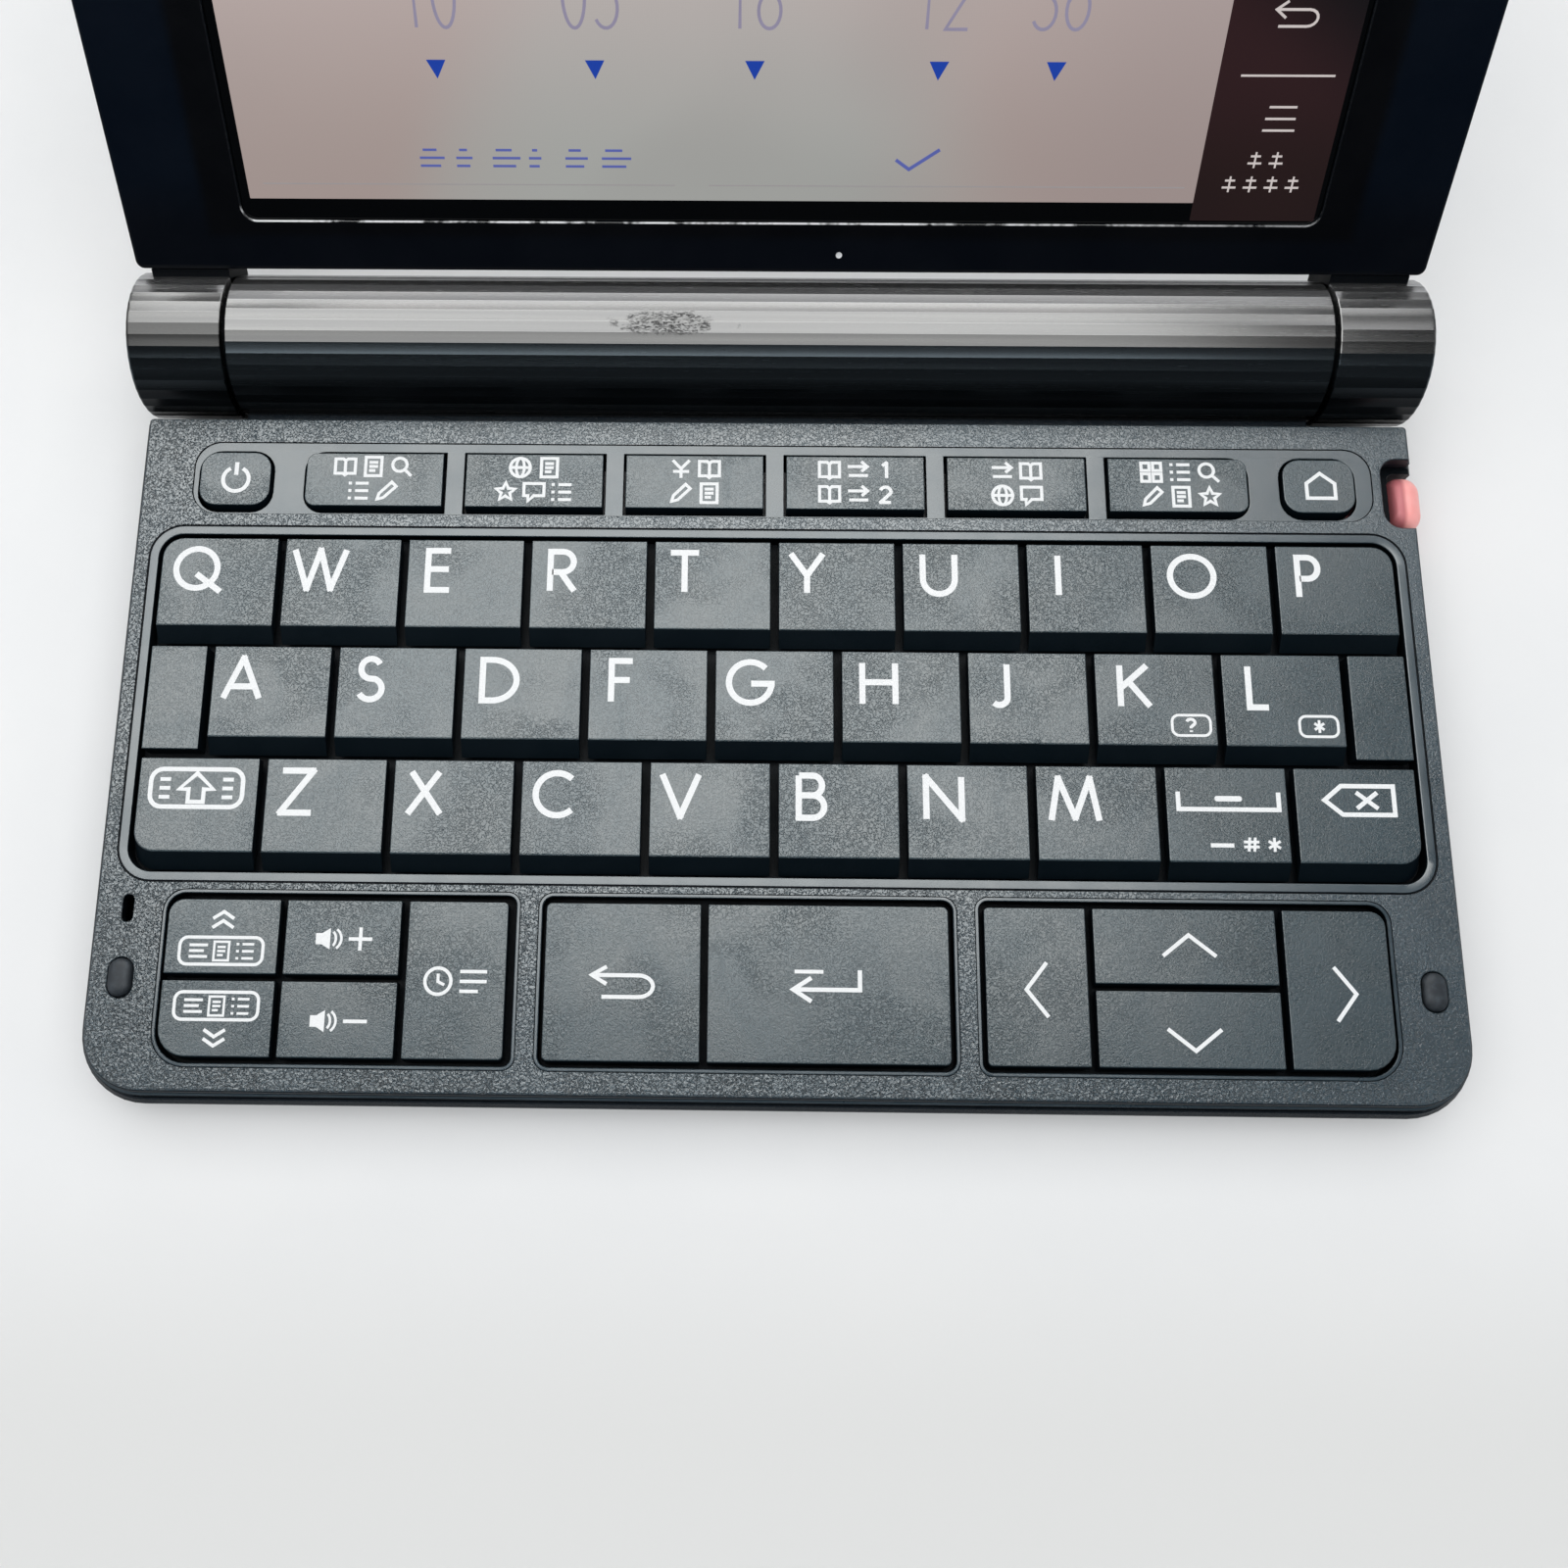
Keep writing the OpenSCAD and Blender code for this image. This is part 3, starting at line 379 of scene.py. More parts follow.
def simple(name, base, rough, alt, scale=1.0, depth=0.01, **kw):
    m = Mat(name, base, rough, **kw)
    m.to(m.mix(m.span(m.noise(scale, 4.0, 0.6), 0.3, 0.7), base, alt), "Base Color")
    m.to(m.span(m.noise(scale * 2.3, 3.0, 0.6), 0.3, 0.7, max(0.02, rough - 0.06), rough + 0.08), "Roughness")
    m.bump(m.noise(scale * 6, 2.0), depth, 0.6)
    return m
screw_steel = simple("screw_steel", (0.10, 0.10, 0.105), 0.32, (0.16, 0.16, 0.165), 2.0, 0.01, metallic=1.0)
contact_steel = simple("contact_steel", (0.55, 0.54, 0.52), 0.25, (0.42, 0.42, 0.41), 1.0, 0.01, metallic=1.0)
board_green = simple("board_green", (0.012, 0.055, 0.022), 0.35, (0.02, 0.085, 0.03), 0.4)
mat_grey = simple("key_mat", (0.16, 0.165, 0.17), 0.6, (0.2, 0.2, 0.21), 0.5)
chip_black = simple("chip_black", (0.012, 0.012, 0.013), 0.4, (0.02, 0.02, 0.02), 2.0)
cone_dark = simple("speaker_cone", (0.015, 0.015, 0.017), 0.5, (0.03, 0.03, 0.032), 1.0)

def cell_mat():
    m = Mat("cell_wrap", (0.02, 0.05, 0.16), 0.28, specular_ior_level=0.6)
    x, y, z = m.xyz()
    band = m.math("ADD", m.span(x, -33.5, -33.0), 0.0)
    one = m.math("MULTIPLY", m.span(x, -41.5, -41.2), m.span(x, -11.0, -10.8, 1.0, 0.0))
    two = m.math("MULTIPLY", m.span(x, 2.5, 2.8), m.span(x, 33.0, 33.2, 1.0, 0.0))
    wrap = m.math("MAXIMUM", one, two)
    top = m.math("MAXIMUM", m.math("MULTIPLY", m.span(x, -11.0, -10.8), m.span(x, 1.6, 1.7, 1.0, 0.0)), m.math("MULTIPLY", m.span(x, 33.0, 33.2), m.span(x, 45.65, 45.75, 1.0, 0.0)))
    c = m.mix(wrap, (0.45, 0.44, 0.42), (0.012, 0.03, 0.10))
    c = m.mix(top, c, (0.42, 0.20, 0.06))
    m.to(c, "Base Color")
    m.to(m.math("SUBTRACT", 1.0, m.math("MAXIMUM", wrap, m.math("MULTIPLY", top, 0.4))), "Metallic")
    m.bump(m.noise(3.0, 2.0), 0.01, 0.4)
    return m
cell_wrap = cell_mat()

def floor_mat():
    m = Mat("floor_pale", (0.80, 0.805, 0.81), 0.55, specular_ior_level=0.25)
    c = m.mix(m.span(m.noise(0.02, 4.0, 0.6), 0.3, 0.7), (0.785, 0.792, 0.80), (0.815, 0.818, 0.822))
    x, y, z = m.xyz()
    # painted shade: the floor darkens towards the front
    m.to(m.mix(m.span(y, -108.0, -76.0, 1.0, 0.0), c, (0.712, 0.714, 0.708)), "Base Color")
    m.bump(m.noise(1.2, 3.0, 0.6), 0.02, 0.25)
    return m

def floor():
    me = bpy.data.meshes.new("floor")
    s = 3.0
    me.from_pydata([(-s, -s, -5e-5), (s, -s, -5e-5), (s, s, -5e-5), (-s, s, -5e-5)], [], [(0, 1, 2, 3)])
    me.materials.append(floor_mat().m)
    o = bpy.data.objects.new("floor", me); bpy.context.scene.collection.objects.link(o)
floor()

# ------------------------------------------------------------------ mesh making

def arc(cx, cy, rx, ry, a0, a1, n):
    return [(cx + rx * cos(radians(a0 + (a1 - a0) * i / n)), cy + ry * sin(radians(a0 + (a1 - a0) * i / n))) for i in range(n + 1)]

def rect(x0, y0, x1, y1, r=(0, 0, 0, 0), g=0.0, n=8, rmin=0.03):
    """counter-clockwise outline grown by g, radii [front left, front right, rear right, rear left]"""
    x0 -= g; y0 -= g; x1 += g; y1 += g
    R = [max(k + g, rmin) if k > 0 else max(rmin, g * 0.6) for k in r]
    p = arc(x0 + R[0], y0 + R[0], R[0], R[0], 180, 270, n)
    p += arc(x1 - R[1], y0 + R[1], R[1], R[1], 270, 360, n)
    p += arc(x1 - R[2], y1 - R[2], R[2], R[2], 0, 90, n)
    p += arc(x0 + R[3], y1 - R[3], R[3], R[3], 90, 180, n)
    return p

class Mesh:
    def __init__(s): s.v = []; s.f = []; s.mi = []
    def add(s, pts):
        i = len(s.v); s.v.extend(pts); return list(range(i, len(s.v)))
    def ring(s, pts, z): return s.add([(x, y, z) for x, y in pts])
    def face(s, idx, m=0): s.f.append(tuple(idx)); s.mi.append(m)
    def bridge(s, a, b, m=0, close=True):
        k = len(a)
        for i in range(k if close else k - 1):
            j = (i + 1) % k
            s.face((a[i], a[j], b[j], b[i]), m)
    def chain(s, rings, m=0):
        for i in range(len(rings) - 1):
            s.bridge(rings[i], rings[i + 1], m[i] if isinstance(m, (list, tuple)) else m)
        return rings[-1]
    def fill(s, loops, m=0):
        if len(loops) == 1: s.face(loops[0], m); return
        flat = [i for l in loops for i in l]
        for t in tessellate_polygon([[Vector(s.v[i]) for i in l] for l in loops]):
            s.face([flat[k] for k in t], m)
    def block(s, x0, y0, x1, y1, z0, z1, r=(0, 0, 0, 0), e=0.0, m=0, n=4):
        """a closed block with its edges rounded by e"""
        prof = [(0, z0), (0, z1)] if e <= 0 else [(-e, z0), (-e * 0.3, z0 + e * 0.3), (0, z0 + e), (0, z1 - e), (-e * 0.3, z1 - e * 0.3), (-e, z1)]
        rr = [max(k, e, 0.05) for k in r]
        rings = [s.ring(rect(x0, y0, x1, y1, rr, g, n), z) for g, z in prof]
        s.chain(rings, m); s.face(rings[0], m); s.face(rings[-1], m)
    def lathe(s, prof, centre, axis="Z", n=32, m=0, caps=True):
        """a turned solid: prof is [(radius, height)]"""
        rings = []
        for r, h in prof:
            pts = []
            for i in range(n):
                a = 2 * pi * i / n; u, v = r * cos(a), r * sin(a)
                if axis == "Z": pts.append((centre[0] + u, centre[1] + v, centre[2] + h))
                else: pts.append((centre[0] + h, centre[1] + u, centre[2] + v))
            rings.append(s.add(pts))
        s.chain(rings, m)
        if caps: s.face(rings[0], m); s.face(rings[-1], m)
    def obj(s, name, mats, body, xf=None, angle=35, weighted=True, slot=None):
        me = bpy.data.meshes.new(name)
        me.from_pydata([(x * MM, y * MM, z * MM) for x, y, z in s.v], [], s.f)
        me.polygons.foreach_set("material_index", s.mi)
        bm = bmesh.new(); bm.from_mesh(me)
        if xf is not None: bm.transform(xf)
        bmesh.ops.remove_doubles(bm, verts=bm.verts, dist=1.2e-6)
        bmesh.ops.dissolve_degenerate(bm, dist=1e-6, edges=bm.edges)
        bmesh.ops.recalc_face_normals(bm, faces=bm.faces)
        bm.to_mesh(me); bm.free()
        for m in mats: me.materials.append(m.m)
        me.polygons.foreach_set("use_smooth", [True] * len(me.polygons))
        me.set_sharp_from_angle(angle=radians(angle))
        o = bpy.data.objects.new(name, me); bpy.context.scene.collection.objects.link(o)
        if weighted:
            w = o.modifiers.new("normals", "WEIGHTED_NORMAL"); w.keep_sharp = True; w.weight = 60
        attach(o, body)
        return o

# ------------------------------------------------------------------ base cases

def base_ring(d, rear=0.0, notch=None, n=10, deep=None):
    """the base's outline grown by d; notch = (inner x, front y, rear y, front radius, rear radius) or None for a plain side.
    The point count is the same either way, so the rings join."""
    x = HW + d; e = d if deep is None else deep; y0 = FRONT - e; y1 = REAR + rear
    r = max(6.5 + d, 0.3); v = max(6.5 + e, 0.3); q = 0.4
    p = arc(-x + r, y0 + v, r, v, 180, 270, n) + arc(x - r, y0 + v, r, v, 270, 360, n)
    k = 5
    if notch:
        xi, a, b, ra, rb = notch
        p += [(x, a)] + arc(xi + ra, a + ra, ra, ra, 270, 180, k) + arc(xi + rb, b - rb, rb, rb, 180, 90, k) + [(x, b)]
    else:
        a, b = -7.6, 0.8
        m = 2 * (k + 1) + 2
        p += [(x, a + (b - a) * i / (m - 1)) for i in range(m)]
    p += arc(x - q, y1 - q, q, q, 0, 90, 3) + arc(-x + q, y1 - q, q, q, 90, 180, 3)
    return p

def N1(e): return (70.4 - e, -7.6 - e, 0.8 + e, max(2 + e, 0.3), max(1.8 + e, 0.3))
def N2(e=0.0): return (72.2 - e, -7.0 - e, 0.2 + e, 0.8 + e, 0.8 + e)

ROWX = [-4.5, -4, -4.5]
def kx(row, col): return (ROWX[row] + col) * 14.2
def ky(row): return REAR - 15.18 - row * 13.04
WX, WR, WF = 4.5 * 14.2 + 13.25 / 2 + 0.65, ky(0) + 0.65, ky(2) - 10.45 - 1.95 - 0.3
LR, LF = REAR - 57, REAR - 73.75
LM = (LR + LF) / 2
CL = [(-66.15, -27.95, (3.4, 1, 1, 2)), (-25.15, 19.4, (1.2, 1.2, 1.2, 1.2)), (22.15, 66.15, (1, 3.4, 2, 1))]
FR_, FD = REAR - 4.45, 6.55

def stem_holes():
    h = []
    for row in range(3):
        for col in range(9 if row == 1 else 10):
            h.append((kx(row, col), ky(row) - 6.1, 8.6, 6.6, "main"))
    for x, s in ((-59.68, 1), (-46.63, 1), (-59.68, -1), (-46.63, -1), (44.15, 1), (44.15, -1)):
        h.append((x, LM + s * 4.38, 7.6, 4.6, 0 if x < -20 else 2))
    for x, w_, c in ((-34.18, 5.6, 0), (-16.28, 9.6, 1), (5.85, 15.6, 1), (28.1, 5.6, 2), (60.25, 5.6, 2)):
        h.append((x, LM, w_, 10.6, c))
    return h

def upper_case():
    M = Mesh(); G, B, D, E = 0, 1, 2, 3
    prof = [(-0.36, 8.0, -0.14, 0.20), (-0.22, 7.965, -0.08, 0.12), (-0.11, 7.88, -0.03, 0.05), (-0.04, 7.75, 0, 0.01), (-0.01, 7.5, 0, 0),
            (0.0, 7.08, 0, 0), (0.07, 7.0, 0, 0), (0.30, 6.96, 0, 0), (0.40, 6.86, 0, 0), (0.40, 6.0, 0, 0), (0.30, 5.9, 0, 0)]
    rings = [M.ring(base_ring(d, r, N1(e)), z) for d, z, r, e in prof]
    M.chain(rings, [G] + [E] * 5 + [B] + [E] * 3)
    inner = [M.ring(base_ring(-1.5, -1.2, N1(0.9)), z) for z in (5.9, 6.8)]
    M.bridge(rings[-1], inner[0], B); M.bridge(inner[0], inner[1], D)
    tops, under = [rings[0]], [inner[1]]
    def hole(out, spec, mats):
        rr = [M.ring(out(g), z) for g, z in spec]
        M.chain(rr, mats); return rr
    # main well: a thin groove, a smooth band, then the wall
    mw = hole(lambda g: rect(-WX, WF, WX, WR, (2.8,) * 4, g, 10),
              [(1.16, 8.0), (1.12, 7.93), (1.02, 7.90), (0.93, 7.95), (0.90, 7.995), (0.14, 7.985), (0.04, 7.93), (0, 7.8), (0, 5.9)], [D, D, D, B, B, B, B, D])
    tops.append(mw[0])
    cw = []
    for x0, x1, r in CL:
        c = hole(lambda g: rect(x0, LF - 0.7, x1, LR + 0.75, r, g, 8),
                 [(0.46, 8.0), (0.43, 7.95), (0.37, 7.95), (0.34, 7.99), (0.30, 8.0), (0.08, 8.0), (0.0, 7.92), (0, 5.9)], [D, D, B, B, B, B, D])
        tops.append(c[0]); cw.append(c[-1])
    # panel of the subject keys, a hair lower than the deck
    pn = hole(lambda g: rect(-67.95, REAR - 11.9, 69.2, REAR - 3.05, (3,) * 4, g, 10),
              [(0.16, 8.0), (0.10, 7.99), (0.05, 7.90), (0.0, 7.85)], [G, D, D])
    tops.append(pn[0])
    pan = [pn[-1]]
    fh = [((i - 2.5) * 18.69 - 8.0 - 0.3, (i - 2.5) * 18.69 + 8.0 + 0.3, (2.3, 0.05, 0.05, 2.3) if i == 0 else (0.05, 2.3, 2.3, 0.05) if i == 5 else (0.05,) * 4) for i in range(6)]
    fh += [(-67.4, -58.6, (2.5,) * 4), (58.55, 67.35, (2.5,) * 4)]
    for x0, x1, r in fh:
        h = hole(lambda g: rect(x0, FR_ - FD - 0.75, x1, FR_ + 0.35, r, g, 6), [(0.13, 7.85), (0.04, 7.83), (0, 7.76), (0, 6.8)], [B, B, D])
        pan.append(h[0]); under.append(h[-1])
    M.fill(pan, B)
    # microphone slot and the seats of the two bumpers
    h = hole(lambda g: rect(-71.05, REAR - 59.5, -69.8, REAR - 56.5, (0.6,) * 4, g, 5), [(0.08, 8.0), (0.0, 7.9), (0, 6.8)], [G, D])
    tops.append(h[0]); under.append(h[-1])
    for s in (-1, 1):
        h = hole(lambda g: rect(s * 70.5 - 1.4, REAR - 67.7, s * 70.5 + 1.4, REAR - 63.3, (1.38,) * 4, g, 8), [(0.1, 8.0), (0.0, 7.9), (0, 7.5)], [G, D])
        tops.append(h[0]); M.face(h[-1], D)
    M.fill(tops, G)
    # outer walls and floors of the wells, with the holes for the key stems
    holes = stem_holes()
    def floor_of(key, top_loop, x0, y0, x1, y1, r):
        up = M.ring(rect(x0, y0, x1, y1, r, 0, 5), 6.8); lo = M.ring(rect(x0, y0, x1, y1, r, 0, 5), 5.2)
        M.bridge(up, lo, D); under.append(up)
        fl, bl = [top_loop], [lo]
        for x, y, w_, d_, k in holes:
            if k != key: continue
            q = rect(x - w_ / 2, y - d_ / 2, x + w_ / 2, y + d_ / 2, (0.3,) * 4, 0, 2)
            a = M.ring(q, 5.9); b = M.ring(q, 5.2); M.bridge(a, b, D); fl.append(a); bl.append(b)
        M.fill(fl, D); M.fill(bl, D)
    floor_of("main", mw[-1], -WX - 0.9, WF - 0.9, WX + 0.9, WR + 0.9, (3.6,) * 4)
    for i, (x0, x1, r) in enumerate(CL):
        floor_of(i, cw[i], x0 - 0.9, LF - 1.5, x1 + 0.9, LR + 1.5, (2,) * 4)
    M.fill(under, D)
    o = M.obj("deck", [deck_grain, deck_band, recess_shade, edge_shade], "base", angle=32, slot="deck_plastic")
    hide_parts("upper_case")
    # the two fixed blanks at the ends of the middle row
    for s, name in ((-1, "left_blank"), (1, "right_blank")):
        K = Mesh()
        x0, x1 = (64.35, WX - 0.5) if s > 0 else (-WX + 0.5, -64.35)
        cap(K, x0, x1, ky(1), 12.0, 0.0, 5.9, (0.05,) * 4)
        k = K.obj(name, [key_top, key_side_shade], "base", slot="key_plastic")
        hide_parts("upper_case")

def cap(M, x0, x1, yr, d, skirt, z0, r, top=0, side=1, e=0.13):
    """a key cap: flat top, small rounded edge, sloped front"""
    prof = [(-e, KTOP), (-e * 0.42, KTOP - e * 0.14), (-e * 0.1, KTOP - e * 0.5), (0, KTOP - e * 1.1), (0, z0)]
    rings = []
    for g, z in prof:
        f = skirt * (KTOP - z) / (KTOP - z0) if skirt else 0
        rr = [max(k, 0.12) for k in r]
        rings.append(M.ring(rect(x0 - g * 0, yr - d - f, x1, yr, rr, g, 6), z))
    M.chain(rings, [top, top, side, side])
    M.face(rings[0], top)
    return rings[-1]

def lower_case():
    M = Mesh(); G, D = 0, 1
    A, Bn = N1(0.0), N2()
    prof = [(-0.3, 5.9, A), (-0.3, 5.62, A), (0.55, 5.6, A), (0.74, 5.55, A), (0.86, 5.42, A), (0.92, 5.3, A), (0.92, 5.3, Bn), (1.12, 5.12, Bn), (1.2, 4.9, Bn),
            (1.2, 2.95, Bn), (1.13, 2.72, Bn), (0.85, 2.5, Bn), (0.35, 2.1, Bn), (-0.1, 1.6, Bn), (-0.12, 1.55, Bn), (-0.12, 1.55, None), (-0.6, 1.05, None), (-0.85, 0.86, None), (-1.15, 0.8, None)]
    rings = [M.ring(base_ring(d, 0, nt), z) for d, z, nt in prof]
    M.chain(rings, [D, D] + [G] * 3 + [D, G] + [G] * 11)
    C = (69.6, -8.3, 1.5, 1.0, 1.0)
    cav = [M.ring(base_ring(d, -1.2, C), z) for d, z in ((-0.6, 5.9), (-0.6, 2.7), (-1.5, 2.7), (-1.5, 1.8))]
    M.bridge(rings[0], cav[0], D); M.chain(cav, D)
    # the underside and its holes
    bot, up = [rings[-1]], [cav[-1]]
    for s in (-1, 1):
        for x, y, rc in ((s * 69.2, REAR - 70.6, 1.85), (s * 67.6, REAR - 2.7, 1.75)):
            q = lambda r: arc(x, y, r, r, 0, 345, 23)
            rr = [M.ring(q(r), z) for r, z in ((rc + 0.12, 0.8), (rc, 0.9), (rc, 1.55), (0.6, 1.55))]
            M.chain(rr, G); M.face(rr[-1], D); bot.append(rr[0])
        q = lambda r: arc(s * 58, REAR - 68, r, r, 0, 352.5, 47)
        rr = [M.ring(q(r), z) for r, z in ((4.18, 0.8), (4.1, 0.86), (4.1, 1.0))]
        M.chain(rr, G); M.face(rr[-1], D); bot.append(rr[0])
    for i in range(6):
        q = lambda g: rect(-48 + i * 2.4, REAR - 69, -47 + i * 2.4, REAR - 59, (0.45,) * 4, g, 4)
        rr = [M.ring(q(g), z) for g, z in ((0.1, 0.8), (0, 0.9), (0, 1.8))]
        M.chain(rr, G); bot.append(rr[0]); up.append(rr[-1])
    M.fill(bot, G); M.fill(up, D)
    o = M.obj("bottom_case", [case_grain, recess_shade], "base", angle=32, slot="case_plastic")
    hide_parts("lower_case")

def inside():
    M = Mesh()
    M.block(-66.8, REAR - 73.6, 66.8, REAR - 13.1, 2.0, 2.8, (1,) * 4, 0.05)
    for x, y, a, b in ((-50, -52, 12, 9), (-20, -40, 16, 16), (12, -44, 14, 10), (38, -30, 10, 12), (-44, -26, 9, 9), (52, -56, 8, 6)):
        M.block(x, y, x + a, y + b, 1.86, 2.02, (0.3,) * 4, 0.03, 1)
    o = M.obj("circuit_board", [board_green, chip_black], "base", slot="board")
    M = Mesh()
    M.block(-66.8, REAR - 73.5, 66.8, REAR - 13.2, 2.81, 3.1, (1,) * 4, 0.05)
    for row in range(3):
        for col in range(9 if row == 1 else 10):
            M.lathe([(2.4, 0), (2.2, 0.15), (1.7, 0.3), (1.5, 0.33)], (kx(row, col), ky(row) - 6.1, 3.08), n=20)
    M.block(-66.8, -6.4, 66.8, -0.4, 5.4, 5.8, (0.5,) * 4, 0.05)
    for i in range(6): M.lathe([(2, 0), (1.6, 0.1)], ((i - 2.5) * 18.69, -3.4, 5.79), n=20)
    p = M.obj("key_mat", [mat_grey], "base", slot="board")
    S = Mesh()
    for s in (-1, 1):
        for x, y, r in ((s * 69.2, REAR - 70.6, 1.62), (s * 67.6, REAR - 2.7, 1.55)):
            # pan head with a cross recess, seen from below
            n = 32; k = []
            for i in range(n):
                a = 2 * pi * i / n + 0.4
                k.append((x + cos(a), y + sin(a)))
            prof = [(0.76, 1.62), (r - 0.02, 1.62), (r, 1.5), (r, 1.2), (r - 0.1, 1.06), (r * 0.78, 0.98)]
            rings = [S.ring([(x + (u - x) * q, y + (v - y) * q) for u, v in k], z) for q, z in prof]
            S.chain(rings, 0); S.face(rings[0], 0)
            c = []
            for j in range(4):
                t = pi / 2 * j + 0.4
                for lx, ly in ((0.95, -0.17), (0.95, 0.17), (0.17, 0.17)):
                    c.append((x + lx * cos(t) - ly * sin(t), y + lx * sin(t) + ly * cos(t)))
            a_ = S.ring(c, 0.98); b_ = S.ring([(x + (u - x) * 0.8, y + (v - y) * 0.8) for u, v in c], 1.35)
            S.bridge(a_, b_, 0); S.face(b_, 0); S.fill([rings[-1], a_], 0)
    q = S.obj("case_screws", [screw_steel], "base", slot="board")
    S = Mesh()
    S.lathe([(7.9, 1.88), (7.9, 1.35), (7.4, 1.32), (6.9, 1.42), (6.2, 1.36), (3.4, 1.62), (3.2, 1.55), (2.4, 1.38), (1.2, 1.33)], (-42, REAR - 64, 0), n=48)
    t = S.obj("loudspeaker", [cone_dark], "base", slot="board")
    for k in (o, p, q, t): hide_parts("board_speaker_screws")

def feet():
    M = Mesh()
    for s in (-1, 1):
        M.lathe([(3.9, 1.0), (3.9, 0.35), (3.78, 0.14), (3.45, 0.02), (3.2, 0.0), (2.6, 0.0), (2.4, 0.08), (0.6, 0.1)], (s * 58, REAR - 68, 0), n=48)
    o = M.obj("front_feet", [rubber], "base", slot="rubber")
    M = Mesh()
    for s in (-1, 1):
        x = s * 55.5
        y0, y1 = AY - 2.4, AY + 2.4
        q = rect(x - 5, y0, x + 5, y1, (0.7,) * 4, 0, 4)
        rr = [M.ring([(x + (u - x) * k, AY + (v - AY) * k2) for u, v in q], z) for k, k2, z in ((0.95, 0.9, 0.0), (0.985, 0.97, 0.06), (1, 1, 0.2), (1, 1, 0.72))]
        M.chain(rr, 0); M.face(rr[0], 0); M.face(rr[-1], 0)
    p = M.obj("rear_pads", [rubber], "base", slot="rubber")
    M = Mesh()
    for s in (-1, 1):
        rr = [M.ring(rect(s * 70.5 - 1.24, REAR - 67.54, s * 70.5 + 1.24, REAR - 63.46, (1.23,) * 4, g, 8), z)
              for g, z in ((0, 7.5), (0, 8.12), (-0.06, 8.28), (-0.2, 8.45), (-0.42, 8.57), (-0.75, 8.64), (-1.05, 8.65))]
        M.chain(rr, 0); M.face(rr[0], 0); M.face(rr[-1], 0)
    q = M.obj("lid_bumpers", [rubber], "base", slot="rubber")
    for k in (o, p, q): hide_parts("feet_and_bumpers")

# ------------------------------------------------------------------ keys and legends

def ribbon(M, pts, w, z, flip=1, m=0, closed=False, t=0.022, x0=0.0, y0=0.0):
    """a flat stroke of width w along pts, its face at height z; flip = -1 faces down and mirrors y"""
    pts = [p for i, p in enumerate(pts) if i == 0 or hypot(p[0] - pts[i - 1][0], p[1] - pts[i - 1][1]) > 1e-4]
    if closed and hypot(pts[0][0] - pts[-1][0], pts[0][1] - pts[-1][1]) < 1e-4: pts = pts[:-1]
    k = len(pts); L, R = [], []
    for i in range(k):
        a = pts[(i - 1) % k] if (closed or i > 0) else None
        b = pts[i]; c = pts[(i + 1) % k] if (closed or i < k - 1) else None
        def unit(p, q):
            d = hypot(q[0] - p[0], q[1] - p[1]); return ((q[0] - p[0]) / d, (q[1] - p[1]) / d)
        u = unit(a, b) if a else unit(b, c); v = unit(b, c) if c else u
        nx, ny = -(u[1] + v[1]), u[0] + v[0]; l = hypot(nx, ny) or 1; nx /= l; ny /= l
        k2 = max(nx * -u[1] + ny * u[0], 0.55)
        h = w / 2 / k2
        L.append((b[0] + nx * h, b[1] + ny * h)); R.append((b[0] - nx * h, b[1] - ny * h))
    Z = [z, z - t * flip]
    Q = [[M.add([(x0 + x, y0 + y * flip, zz) for x, y in P]) for zz in Z] for P in (L, R)]
    (lt, lb), (rt, rb) = Q
    M.bridge(lt, rt, m, closed); M.bridge(lb, rb, m, closed); M.bridge(lt, lb, m, closed); M.bridge(rt, rb, m, closed)
    if not closed:
        M.face((lt[0], rt[0], rb[0], lb[0]), m); M.face((lt[-1], rt[-1], rb[-1], lb[-1]), m)

def blob(M, pts, z, flip=1, m=0, t=0.022, x0=0.0, y0=0.0):
    """a filled flat figure"""
    a = M.add([(x0 + x, y0 + y * flip, z) for x, y in pts]); b = M.add([(x0 + x, y0 + y * flip, z - t * flip) for x, y in pts])
    M.face(a, m); M.face(b, m); M.bridge(a, b, m)

